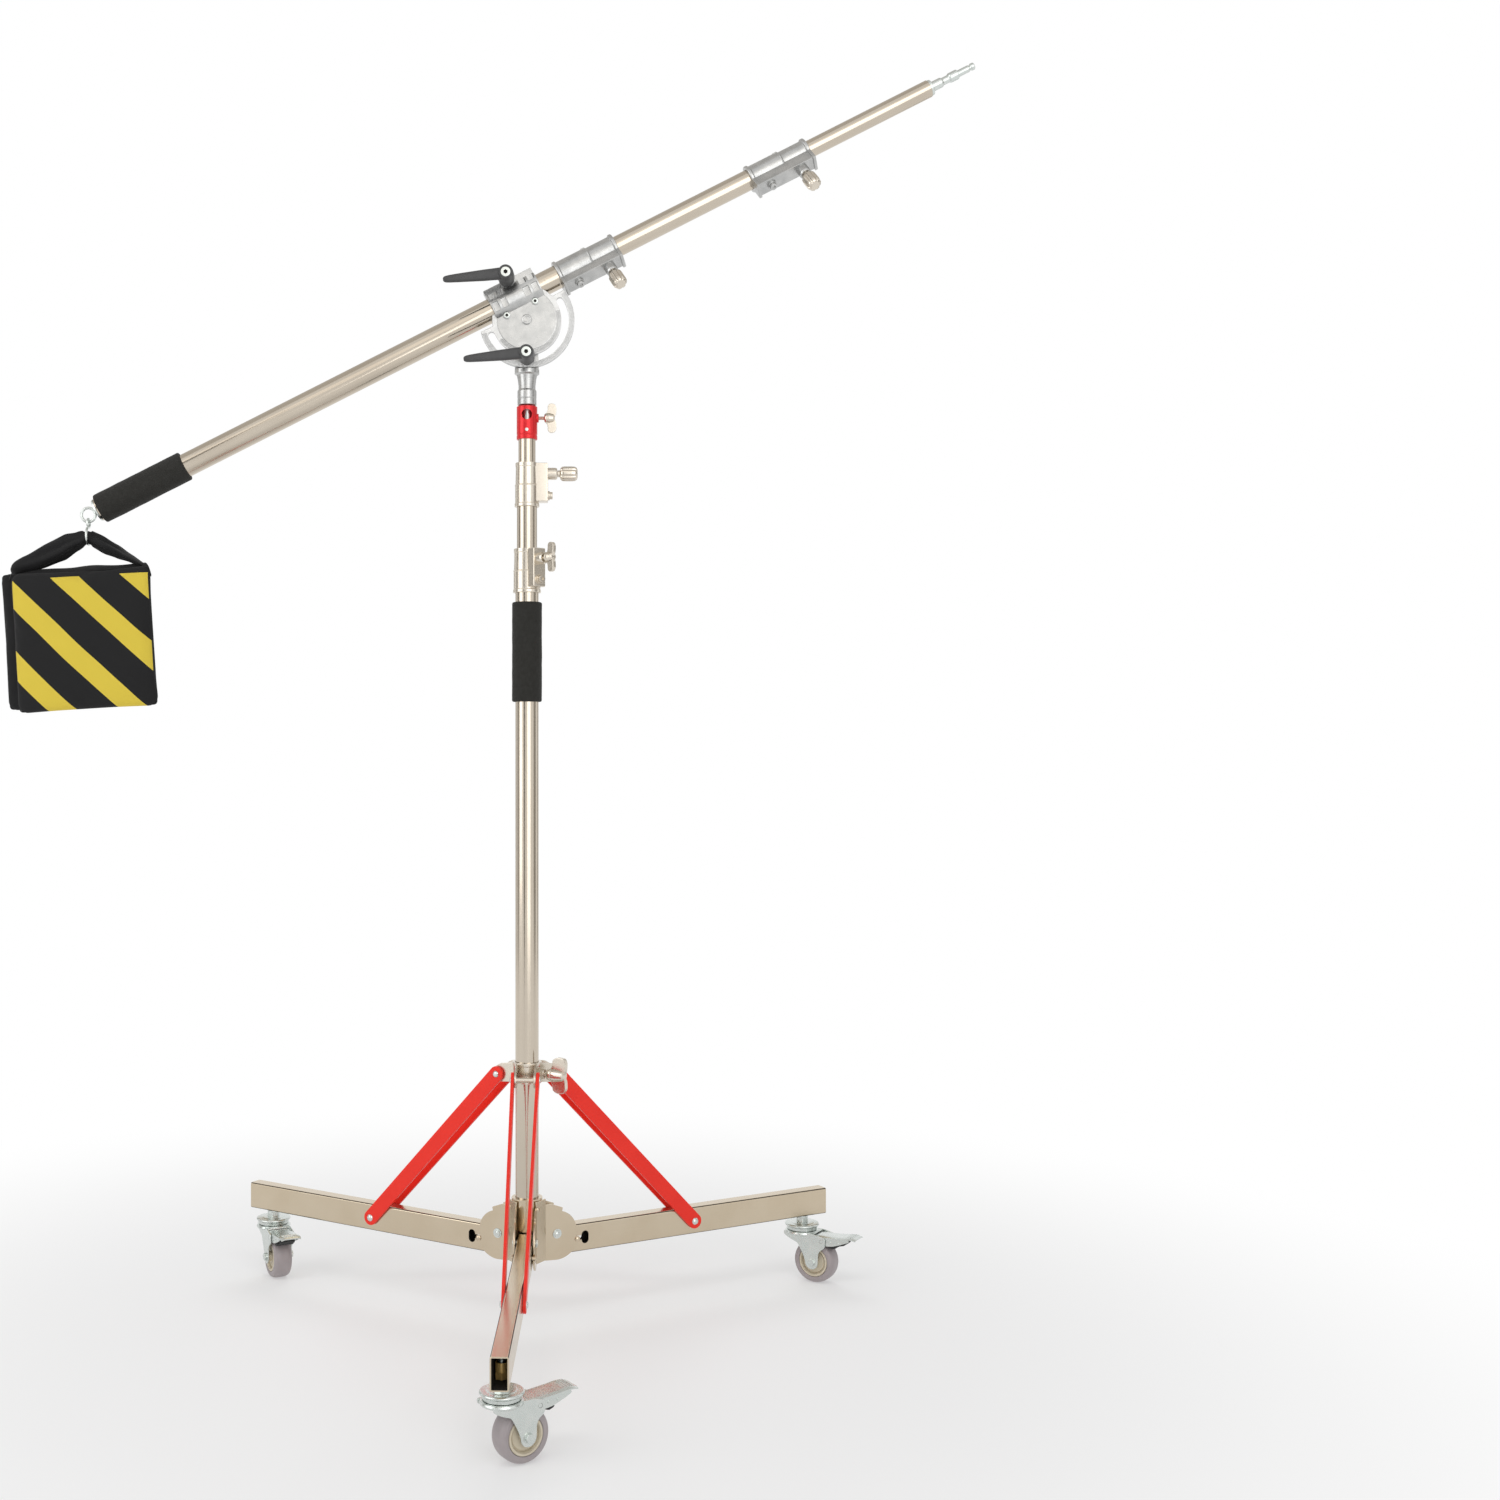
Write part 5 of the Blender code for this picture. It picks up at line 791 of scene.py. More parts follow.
def build_base():
    piece("hub_body", hub(), SHEET, ROOT, "stand", "leg_hub")
    lock_pin = headed_bolt(CHEEK_FACE + SLIDE, 0.003, 0.0028, 1.6)
    rows = (
        ("leg_tube", leg(), [SHEET, PAINTED_SHADE], "hinge", "leg", "leg", "steel"),
        ("leg_pivot", pivot_bolt(CHEEK_FACE + GAP, 0.004), ZINC, "hinge", "leg", "leg_bolt", "zinc"),
        ("spring_pin", lock_pin, SHEET, "pin", "pin", "lock_pin", "zinc"),
        ("strut_bars", strut(), RED, "bars", "strut", "strut", "red_paint"),
        ("strut_rivets", strut_rivets(), ZINC, "bars", "strut", "", "zinc"),
        ("stem_race", stem(), ZINC, "foot", "leg", "caster_stem", "zinc"),
        ("stem_bush", bush(), BRASS, "foot", "leg", "", "zinc"),
        ("fork", fork(), ZINC, "swivel", "fork", "caster_fork", "zinc"),
        ("pedal", pedal(), ZINC, "brake", "brake", "brake_pedal", "zinc"),
        ("brake_pad", brake_pad(), RUBBER, "brake", "brake", "", "black_plastic"),
        ("tyre", tyre(), TREAD, "axle", "wheel", "caster_tyre", "tyre"),
        ("wheel", core(), CREAM, "axle", "wheel", "caster_core", "wheel_core"))
    for side, base in LEGS.items():
        hinge, foot = base @ at(PIVOT_R, 0, PIVOT_Z), base @ at(LEG_TIP - SETBACK, 0, 0)
        swivel = foot @ spin(CASTER_TURNS[side] - AZIMUTHS[side], "Z")
        bars = hinge @ at(STRUT_AT, 0, -PIN_DROP) @ spin(-STRUT_ANGLE, "Y")
        places = {"hinge": hinge, "pin": hinge @ at(PIN_OUT, 0, -PIN_DROP), "bars": bars, "foot": foot,
                  "swivel": swivel, "brake": swivel @ at(PEDAL_X, 0, PEDAL_Z),
                  "axle": swivel @ at(TRAIL, 0, WHEEL_R)}
        for name, mesh, paints, place, body, node, slot in rows:
            nodes = f"{node}_{side}" if node else ()
            piece(f"{name}_{side}", mesh.copy(), paints, places[place], f"{side}_{body}", nodes)


# Column

def red_socket():
    """Red socket: stepped bore, front window, set screw boss and a grooved lower lip."""
    radius, height, screw = SOCKET_R, SOCKET_TALL, SOCKET_SCREW
    outline = [(0, 0), (radius - 0.0004, 0), (radius, 0.0006), (radius, 0.0062), (radius - 0.0007, 0.0068),
               (radius - 0.0007, 0.0078), (radius, 0.0084), (radius, height), (0, height)]
    boss = rod(0.007, (radius - 0.003, 0, screw), (radius + 0.0022, 0, screw), 40, 0.0006)
    bore = lathe([(0, -0.01), (TUBES[2] + GAP, -0.01), (TUBES[2] + GAP, 0.025), (0.0086, 0.025),
                  (0.0086, height + 0.01), (0, height + 0.01)], 64)
    window = rod(0.0085, (0, -0.03, height - 0.014), (0, -0.004, height - 0.014), 48)
    hole = rod(0.0033, (0, 0, screw), (0.03, 0, screw), 20)
    return cut(joined(lathe(outline, 96, soft=0.0007), boss), bore, window, hole)


def socket_rivet():
    """The small rivet in the socket's front."""
    return rod(0.0028, (0, 0.0015 - SOCKET_R, 0.014), (0, -SOCKET_R - 0.0009, 0.014), 24, 0.0005)


def build_column():
    piece("tube_lower", pipe(TUBES[0], *COLUMN_SPANS[0]), TUBE, ROOT, "stand", "column_tube_1")
    foam = grip(TUBES[0], COLUMN_GRIP)
    foam = piece("grip_column", foam, FOAM, ROOT @ at(0, 0, COLUMN_GRIP_AT), "stand", "column_grip")
    piece("collar", collar(), NICKEL, ROOT, "collar", "slide_collar")
    knob = wing_knob(0.0196, 0.0406, 0.029, 0.004, 0.011, 0.032)
    place = ROOT @ at(0, 0, (COLLAR_LOW + COLLAR_TOP) / 2) @ spin(COLLAR_TURN, "Z")
    piece("knob_collar", knob, NICKEL, place, "collar_screw", "collar_knob")
    knobs = (wing_knob(TUBES[1] + 2 * GAP, BOSS_OUT + 0.004, 0.024), fluted_knob(TUBES[2]))
    for i, (bottom, turn, knob_at, screw_at) in enumerate(COLUMN_CLAMPS):
        holder = ROOT @ at(0, 0, bottom) @ spin(turn, "Z")
        shape = clamp(*TUBES[i:i + 2], 0.071, 0.0285, 0.0036, 0.035, knob_at, screw_at, False, 0.008)
        body = ("stand", "riser_1")[i]
        piece(f"clamp_column_{i + 1}", shape, NICKEL, holder, body, f"column_clamp_{i + 1}")
        place = holder @ at(0, 0, knob_at)
        body = f"column_screw_{i + 1}"
        piece(f"knob_column_{i + 1}", knobs[i], NICKEL, place, body, f"column_knob_{i + 1}")
    piece("tube_middle", pipe(TUBES[1], *COLUMN_SPANS[1]), TUBE, ROOT, "riser_1", "column_tube_2")
    piece("tube_upper", pipe(TUBES[2], *COLUMN_SPANS[2]), TUBE, ROOT, "riser_2", "column_tube_3")
    seat = ROOT @ at(0, 0, SOCKET_AT)
    piece("socket_body", red_socket(), ANODISED, seat, "riser_2", "stud_socket")
    piece("socket_stud", socket_rivet(), ZINC, seat, "riser_2", ())
    knob = wing_knob(0.0086, TUBES[2] + 0.014, 0.024)
    piece("knob_socket", knob, NICKEL, seat @ at(0, 0, SOCKET_SCREW), "socket_screw", "socket_knob")


# Boom head, about its pivot

def yoke():
    """Spigot, turned neck and the upright plate with its boss."""
    low = -0.1375
    outline = [(0, low - 0.0274), (0.008, low - 0.0274), (0.008, low + 0.0015), (0.0135, low + 0.0015),
               (0.0155, low + 0.003), (0.0155, low + 0.012), (0.0151, low + 0.0126), (0.0151, low + 0.0136),
               (0.0155, low + 0.0142), (0.0155, low + 0.0255), (0.0138, low + 0.028), (0.0138, low + 0.034),
               (0.015, low + 0.044), (0.0166, low + 0.051), (0.02, low + 0.0532), (0.02, low + 0.06),
               (0, low + 0.06)]
    foot = low + 0.058
    plate = [(-0.0195, foot), (0.0195, foot), (0.019, -SLOT_R)] + arc(0, 0, 0.015, -8, 188, 24)
    plate.append((-0.019, -SLOT_R))
    plate = prism(rounded(plate, 0.002, 2, True), -0.006, 0.006, 0.0007)
    ribs = [block((x - 0.0012, 0.004, foot), (x + 0.0012, 0.0085, -0.035), 0.0006) for x in (-0.012, 0.012)]
    return cut(joined(lathe(outline, 80, soft=0.0006), plate, *ribs),
               rod(0.0053, (0, -0.02, 0), (0, 0.02, 0)), rod(0.0053, (0, -0.02, -SLOT_R), (0, 0.02, -SLOT_R)))


def slot_outline(inner, outer, span, steps=60):
    """A curved slot's outline below the pivot, with round ends."""
    middle, half = (inner + outer) / 2, (outer - inner) / 2
    points = arc(0, 0, outer, -90 - span, -90 + span, steps)
    tip = math.radians(-90 + span)
    points += arc(middle * math.cos(tip), middle * math.sin(tip), half, -90 + span, 90 + span, 12)[1:-1]
    points += arc(0, 0, inner, -90 + span, -90 - span, steps)
    tip = math.radians(-90 - span)
    points += arc(middle * math.cos(tip), middle * math.sin(tip), half, 90 - span, 270 - span, 12)[1:-1]
    return points


def jaw_half(side):
    """Half of the boom's clamp on one side of the split, with two rows of pockets between ribs."""
    shell = arc(0, 0, JAW_R, -90, 48, 30) + [(0.011, JAW_R * 0.8), (0.011, 0.031), (0, 0.031)]
    body = prism(shell, -JAW_BACK, JAW_FRONT, 0.0006, spin(-90, "Z"))
    body = body if side < 0 else mirrored(body)
    body.transform(at(0, 0, BOOM_LIFT))
    low_y, high_y = sorted((side * 0.0006, side * 0.05))
    body = combined(body, [block((-0.05, low_y, -0.01), (0.05, high_y, 0.12))], "INTERSECT")
    pockets = []
    for low_x, high_x in ((-0.0395, -0.029), (-0.025, -0.0145), (0.0145, 0.0262), (0.03, 0.0412)):
        for bottom, top, depth in ((-0.012, 0.004, 0.003), (0.01, 0.0245, 0.0)):
            inner = side * (0.0265 - depth if depth else JAW_R * 0.62)
            y_low, y_high = sorted((side * (JAW_R + 0.006), inner))
            low_at, high_at = (low_x, y_low, BOOM_LIFT + bottom), (high_x, y_high, BOOM_LIFT + top)
            pockets.append(block(low_at, high_at, 0.0016))
    return cut(body, *pockets)


def quadrant():
    """Front casting: slotted quadrant, raised disc and the front half of the boom's clamp."""
    end, inner = SLOT_SPAN + 9.0, SLOT_R - SLOT_HALF
    outline = arc(0, 0, QUAD_R, -90 - end, -90 + end, 90)
    for start, sign in ((-90 + end + 4, 1), (-90 - end - 4, -1)):
        tip = (inner * math.cos(math.radians(start)), inner * math.sin(math.radians(start)))
        outline += [tip] + (arc(0, 0, inner, 25, 155, 20) if sign > 0 else [])
    plate = prism(rounded(outline, 0.0015, 2, True), QUAD_FRONT, QUAD_BACK, 0.0008)
    slot = slot_outline(inner, SLOT_R + SLOT_HALF, SLOT_SPAN)
    plate = cut(plate, prism(slot, QUAD_FRONT - 0.01, QUAD_BACK + 0.01))
    disc = [(0, 0), (DISC_R, 0), (DISC_R, 0.0037), (DISC_R - 0.001, 0.004), (0, 0.004)]
    disc = turned(disc, (0, QUAD_FRONT + 0.0025, 0), (0, -1, 0), 96, 0.0006)
    web = block((-JAW_BACK, QUAD_FRONT, BOOM_LIFT - JAW_R - 0.012), (JAW_FRONT, QUAD_BACK, 0.03), 0.0005)
    boss = rod(0.0125, (0, LEVER_SEAT + GAP, JAW_BOLT_Z), (0, -0.0006, JAW_BOLT_Z), 48, 0.0006)
    front, z = QUAD_FRONT, JAW_SCREW_Z
    seats = [rod(0.0064, (x, front - 0.0028, z), (x, front + 0.003, z), 40, 0.0006) for x in JAW_SCREWS]
    half = cut(jaw_half(-1), block((-0.1, QUAD_BACK, -0.001), (0.1, 0.05, BOOM_LIFT)))
    body = joined(plate, disc, web, boss, half, *seats)
    holes = [rod(0.0053, (0, -0.05, height), (0, 0.02, height)) for height in (0, JAW_BOLT_Z)]
    holes.append(rod(LEVER_HUB + 2 * SLIDE, (0, -0.06, JAW_BOLT_Z), (0, LEVER_SEAT + 0.0005, JAW_BOLT_Z), 64))
    for x in JAW_SCREWS:
        holes.append(rod(0.0028, (x, -0.05, z), (x, 0.01, z), 20))
        holes.append(rod(0.0054, (x, -0.05, z), (x, front + 0.0002, z), 40))
    body = cut(body, rod(TUBES[0] + SLIDE, (-0.1, 0, BOOM_LIFT), (0.1, 0, BOOM_LIFT), 96), *holes)

    def rim(c, n):
        return n.y < -0.9 and abs(c.y - QUAD_FRONT) < 0.0002 and c.z < BOOM_LIFT - JAW_R - 0.012
    return marked(body, 1, rim)


def teeth(inner, outer, half, count):
    """Radial serrations on the front of the quadrant, as one ridged band to both sides of straight down."""
    face, slope, rings = QUAD_FRONT, 0.0006, []
    for k in range(2 * count + 1):
        a = math.radians(-90 - half + half * k / count)
        tall = face - (0.0007 if k % 2 else 0.0001)
        ring = [(inner, face + slope), (inner, face), (inner + slope, tall), (outer - slope, tall),
                (outer, face), (outer, face + slope)]
        rings.append([(r * math.cos(a), y, r * math.sin(a)) for r, y in ring])
    return loft(rings)


def rear_jaw():
    """Rear half of the boom's clamp, with its lower flange."""
    foot = block((-JAW_BACK + 0.0005, QUAD_BACK + GAP, 0.0162), (JAW_FRONT - 0.0005, 0.016, 0.028), 0.0008)
    boss = rod(0.0125, (0, 0.0006, JAW_BOLT_Z), (0, 0.015, JAW_BOLT_Z), 48, 0.0006)
    bore = rod(TUBES[0] + SLIDE, (-0.1, 0, BOOM_LIFT), (0.1, 0, BOOM_LIFT), 96)
    hole = rod(0.0053, (0, -0.01, JAW_BOLT_Z), (0, 0.05, JAW_BOLT_Z))
    return cut(joined(foot, boss, jaw_half(1)), bore, hole)


def jaw_screws():
    """The clamp's two small screws, with painted shade inside their sockets."""
    parts, z, seat = [], JAW_SCREW_Z, QUAD_FRONT - GAP
    for x in JAW_SCREWS:
        parts.append(rod(0.0025, (x, QUAD_FRONT - 0.001, z), (x, QUAD_BACK + 0.002, z), 24))
        parts.append(socket_screw(0.005, 0.003, (x, seat, z), (0, -1, 0), 0.0026))

    # The faces inside each socket take the second slot: painted shade in the socket
    def inside(c, n):
        near = min(math.hypot(c.x - x, c.z - z) for x in JAW_SCREWS)
        return near < 0.00262 and seat - 0.0027 < c.y < seat - 0.001
    return marked(gathered(*parts), 1, inside)


def cap_bolt(y_front, y_back, z, nut_at):
    """A clamp's long bolt along Y: domed head with a hexagon socket, shank and nut."""
    head = socket_screw(0.008, 0.005, (0, y_front + 0.005, z), (0, -1, 0), 0.0036)
    shank = rod(0.005, (0, y_front + 0.004, z), (0, nut_at, z), 32)
    end = thread(0.0049, (0, nut_at, z), (0, y_back, z), 0.0012)
    nut = hexagon(0.0095, 0.0072, (0, nut_at, z), (0, 1, 0), 0.0007)
    mesh = gathered(head, shank, end, nut)

    # The faces inside the head's socket take the second slot: painted shade in the socket
    def inside(c, n):
        return max(abs(c.x), abs(c.z - z)) < 0.0034 and y_front + 0.0004 < c.y < y_front + 0.0035
    return marked(mesh, 1, inside)


def centre_bolt():
    """The pivot's low round head, with a shallow turned ring and two spanner flats, and its nut."""
    face = QUAD_FRONT - 0.0018
    head = lathe([(0, 0), (0.008, 0), (0.008, 0.0028), (0.0066, 0.0035), (0.0052, 0.0035), (0.0048, 0.0031),
                  (0.0043, 0.0031), (0.0039, 0.0034), (0, 0.0034)], 64, soft=0.0003)
    slot = block((-0.0011, -0.0042, 0.0026), (0.0011, 0.0042, 0.006))
    head = aimed(cut(head, slot), (0, face, 0), (0, -1, 0))
    shank = rod(0.005, (0, face - 0.002, 0), (0, 0.0103, 0), 32, 0.0005)
    return gathered(head, shank, hexagon(0.0095, 0.0078, (0, 0.0063, 0), (0, 1, 0), 0.0007))


def lever():
    """Clamp lever about Y: waisted hub towards -Y and a tapered arm towards -X."""
    hub_r, tall = LEVER_HUB, LEVER_TALL
    outline = [(0, 0), (hub_r * 0.85, 0), (hub_r * 0.93, tall * 0.1), (hub_r, tall * 0.25),
               (hub_r * 0.98, tall * 0.5), (hub_r * 0.92, tall * 0.8), (hub_r * 0.82, tall), (0, tall)]
    body = turned(outline, (0, 0, 0), (0, -1, 0), 72, 0.0012)
    stations = [(0.002, 0.0098, 0.0082, 0.79), (0.01, 0.0094, 0.0072, 0.79), (0.02, 0.0091, 0.0064, 0.8),
                (0.035, 0.0088, 0.0058, 0.81), (0.055, 0.0078, 0.0053, 0.83), (0.075, 0.0068, 0.0049, 0.85),
                (0.09, 0.0058, 0.0046, 0.86), (0.096, 0.005, 0.0042, 0.86), (0.099, 0.0036, 0.0032, 0.86),
                (0.1, 0.0018, 0.0018, 0.86)]
    rings = []
    for out, wide, thick, share in stations:
        ring = []
        for a in turns(32):
            c, s = math.cos(a), math.sin(a)
            ring.append((-out, -tall * share + thick * math.copysign(abs(s) ** 0.75, s),
                         wide * math.copysign(abs(c) ** 0.75, c)))
        rings.append(ring)
    arm = moved(loft(rings), spin(-6.5, "Y"))
    return cut(joined(body, arm), rod(0.0084, (0, -tall + 0.0054, 0), (0, -tall - 0.01, 0), 48),
               rod(0.0054, (0, -tall - 0.01, 0), (0, 0.01, 0), 32))


def build_head():
    piece("yoke", yoke(), CAST, PIVOT, "head", "head_yoke")
    seat = QUAD_FRONT - GAP
    bolt = cap_bolt(seat - LEVER_TALL + 0.0007, 0.0163, -SLOT_R, 0.0073)
    piece("bolt_tilt", bolt, [ZINC, PAINTED_SHADE], PIVOT, "head", "tilt_bolt")
    handle = lever()
    place = PIVOT @ at(0, seat, -SLOT_R)
    piece("lever_tilt", handle.copy(), BLACK, place, "head_lever", "tilt_lever")
    piece("quadrant", quadrant(), [CAST, MACHINED], TILTED, "boom_head", "quadrant_plate")
    bands = gathered(teeth(SLOT_R + SLOT_HALF + 0.0008, QUAD_R - 0.0006, SLOT_SPAN + 6.0, 118),
                     teeth(DISC_R + 0.0008, SLOT_R - SLOT_HALF - 0.0008, 80.0, 96))
    piece("quadrant_teeth", bands, MACHINED, TILTED, "boom_head", (), 10.0)
    piece("jaw_rear", rear_jaw(), CAST, TILTED, "boom_head", "boom_jaw")
    piece("jaw_screws", jaw_screws(), [ZINC, PAINTED_SHADE], TILTED, "boom_head", ())
    piece("bolt_pivot", centre_bolt(), CAST, TILTED, "boom_head", "pivot_bolt")
    bolt = cap_bolt(LEVER_SEAT - LEVER_TALL + 0.001, 0.0243, JAW_BOLT_Z, 0.0153)
    piece("bolt_jaw", bolt, [ZINC, PAINTED_SHADE], TILTED, "boom_head", "jaw_bolt")
    place = TILTED @ at(0, LEVER_SEAT, JAW_BOLT_Z) @ spin(BOOM_ANGLE, "Y")
    piece("lever_jaw", handle, BLACK, place, "boom_lever", "jaw_lever")


# Boom

def stud():
    """End plug with its knurled collar, waisted stud and thin grooved tip, up Z."""
    plug, base = TUBES[2] - WALL - GAP, 0.005
    end = base + 0.047
    outline = [(0, -0.03), (plug, -0.03), (plug, GAP), (0.0128, GAP), (0.0128, base - 0.0006), (0.0122, base),
               (0.008, base), (0.008, end - 0.03), (0.0062, end - 0.027), (0.0062, end - 0.017),
               (0.008, end - 0.014), (0.008, end - 0.0008), (0.0072, end), (0.0055, end),
               (0.0055, end + 0.02), (0.0042, end + 0.0212), (0.0042, end + 0.0232), (0.0058, end + 0.0245),
               (0.0058, end + 0.029), (0.0048, end + 0.03), (0, end + 0.03)]
    return lathe(outline, 64, soft=0.0005)


def eye():
    """Tail plug and the welded eye bolt, up Z away from the tube."""
    inner = TUBES[0] - WALL - GAP
    plug = [(0, -0.02), (inner, -0.02), (inner, GAP), (TUBES[0], GAP), (TUBES[0] - 0.001, 0.0035),
            (0, 0.0035)]
    plug = lathe(plug, 80, soft=0.0005)
    rings = []
    for a in turns(64):
        outs = [(EYE_R + EYE_WIRE / 2 * math.cos(t), EYE_WIRE / 2 * math.sin(t)) for t in turns(16)]
        rings.append([(out * math.cos(a), y, EYE_BACK + out * math.sin(a)) for out, y in outs])
    collar_nut = hexagon(0.007, 0.003, (0, 0, 0.0034), (0, 0, 1), 0.0004)
    stem_wire = rod(0.0039, (0, 0, 0.0), (0, 0, EYE_BACK - EYE_R), 32)
    return gathered(plug, loft(rings, closed=True), stem_wire, collar_nut)


def hook_path():
    """The hook's centre line from the eye's middle, and the height of its lower loop's middle."""
    top = -EYE_R + EYE_WIRE / 2 + GAP + HOOK_WIRE / 2
    up = top - HOOK_TOP_R
    low = up - HOOK_TOP_R - HOOK_LOW_R
    path = arc(0, up, HOOK_TOP_R, 215, -90, 36) + arc(0, low, HOOK_LOW_R, 90, 340, 42)[1:]
    return [(0, y, z) for y, z in path], low


def build_boom():
    lap = BOOM_CLAMPS[0] + BOOM_LAP
    piece("boom_outer", pipe(TUBES[0], -BOOM_TAIL, lap), TUBE, BOOM, "boom", "boom_tube_1")
    for i, start in enumerate(BOOM_CLAMPS):
        lug = BOOM @ at(0, 0, start) @ spin(-BOOM_LUG_TURN, "Z")
        body = ("boom", "boom_riser_1")[i]
        shape = clamp(*TUBES[i:i + 2], BOOM_CLAMP, 0.06, 0.003, 0.058, BOOM_KNOB_AT, 0.0255, True, 0.003)
        piece(f"clamp_boom_{i + 1}", shape, CAST, lug, body, f"boom_clamp_{i + 1}")
        knob, place = fluted_knob(TUBES[i + 1]), lug @ at(0, 0, BOOM_KNOB_AT)
        piece(f"knob_boom_{i + 1}", knob, NICKEL, place, f"boom_screw_{i + 1}", f"boom_knob_{i + 1}")
    tops = BOOM_CLAMPS[1] + BOOM_LAP, BOOM_CLAMPS[1] + BOOM_CLAMP + BOOM_OUT
    middle, inner = (pipe(TUBES[k + 1], tops[k] - BOOM_LENGTHS[k], tops[k]) for k in range(2))
    piece("boom_middle", middle, TUBE, BOOM, "boom_riser_1", "boom_tube_2")
    piece("boom_inner", inner, TUBE, BOOM, "boom_riser_2", "boom_tube_3")
    piece("stud", stud(), ZINC, BOOM @ at(0, 0, tops[1]), "boom_riser_2", "boom_stud")
    foam, place = grip(TUBES[0], BOOM_GRIP), BOOM @ at(0, 0, BOOM_GRIP_IN - BOOM_TAIL)
    foam = piece("grip_boom", foam, FOAM, place, "boom", "boom_grip")
    piece("eye", eye(), ZINC, TAIL, "boom", "eye_bolt")


# Sandbag, about the middle of the hook's lower loop

BAG_W, BAG_H, BAG_T, BAG_SIDE, BAG_SKEW, BAG_SHIFT, BAG_ROLL = 0.222, 0.222, 0.034, 0.032, 0.018, -0.0155, 3.5
BAG_MIDDLE = HOOK_WIRE / 2 - HOOK_LOW_R - 0.158


def weave(tree, place):
    """Crossing ribs of a plain weave, and soft creases, as one bump."""
    wave = {"Vector": place, "Scale": 330.0, "Distortion": 0.6, "Detail Scale": 30.0}
    ribs = [added(tree, "TexWave", wave, bands_direction=axis).outputs["Fac"] for axis in ("X", "Z")]
    threads = calc(tree, "MULTIPLY", *ribs)
    crease = added(tree, "TexNoise", {"Vector": place, "Scale": 26.0, "Detail": 3.0}).outputs["Fac"]
    broad = added(tree, "Bump", {"Height": crease, "Strength": 0.35, "Distance": 0.003}).outputs["Normal"]
    fine = added(tree, "Bump", {"Height": threads, "Normal": broad, "Strength": 0.5, "Distance": 0.00025})
    return fine.outputs["Normal"], threads


def cloth(name, striped):
    """Woven cloth, black or with slightly wavy diagonal bars."""
    paint, tree, shader = coated(name, {"Roughness": 0.82, "Sheen Weight": 0.04, "Sheen Roughness": 0.5,
                                        "Specular IOR Level": 0.2})
    place = added(tree, "TexCoord").outputs["Object"]
    normal, threads = weave(tree, place)
    colour = blend(tree, threads, (0.01, 0.01, 0.0105), (0.019, 0.019, 0.0195))
    if striped:
        yellow = blend(tree, threads, (0.62, 0.475, 0.052), (0.74, 0.57, 0.078))
        split = added(tree, "SeparateXYZ", {"Vector": place}).outputs
        sway = added(tree, "TexNoise", {"Vector": place, "Scale": 9.0, "Detail": 1.0}).outputs["Fac"]
        x, z = split["X"], split["Z"]
        fan = calc(tree, "SUBTRACT", calc(tree, "MULTIPLY", z, z), calc(tree, "MULTIPLY", x, x))
        line = calc(tree, "MULTIPLY_ADD", fan, STRIPE_FAN, calc(tree, "MULTIPLY_ADD", x, STRIPE_SLOPE, z))
        line = calc(tree, "MULTIPLY_ADD", calc(tree, "SUBTRACT", sway, 0.5), 0.006, line)
        phase = calc(tree, "MULTIPLY_ADD", line, 1 / STRIPE_PITCH, STRIPE_START)
        bar = calc(tree, "LESS_THAN", calc(tree, "FRACT", phase), STRIPE_SHARE)
        for reach, limit in ((z, BAG_H / 2 - 0.01), (calc(tree, "ABSOLUTE", x), BAG_W / 2 - 0.0025)):
            bar = calc(tree, "MULTIPLY", bar, calc(tree, "LESS_THAN", reach, limit))
        colour = blend(tree, bar, colour, yellow)
    fed(shader, {"Normal": normal, "Base Color": colour})
    return paint


STRIPE_SLOPE, STRIPE_FAN, STRIPE_PITCH, STRIPE_START, STRIPE_SHARE = 1.04, 0.2, 0.1144, 5.52, 0.412
SETTLE_FRAMES, SETTLE_CAP = 18, 0.0045


def pouch():
    """One sewn pouch of sand, flat at its seams and fuller towards the bottom, in the XZ plane."""
    across, up = 46, 46
    bm = bmesh.new()
    grid = {}
    for side in (-1, 1):
        for i in range(across + 1):
            for j in range(up + 1):
                edge = i in (0, across) or j in (0, up)
                if edge and side == 1:
                    grid[side, i, j] = grid[-1, i, j]
                    continue
                u, v = -1 + 2 * i / across, -1 + 2 * j / up
                x, z = u * BAG_W / 2 * 0.992, v * BAG_H / 2 * 0.992
                corner = max(0.0, (abs(u) - 0.88) / 0.12) * max(0.0, (abs(v) - 0.88) / 0.12)
                x -= math.copysign(0.005 * corner, x)
                z -= math.copysign(0.005 * corner, z)
                swell = (max(0.0, 1 - u ** 6) * max(0.0, 1 - v ** 6)) ** 0.5 * (0.92 - 0.1 * v)
                grid[side, i, j] = bm.verts.new((x, side * (0.0004 + BAG_T * 0.4 * swell), z))
    for side in (-1, 1):
        for i in range(across):
            for j in range(up):
                corners = [grid[side, i + a, j + b] for a, b in ((0, 0), (1, 0), (1, 1), (0, 1))]
                bm.faces.new(corners if side < 0 else corners[::-1])
    return finished(bm)


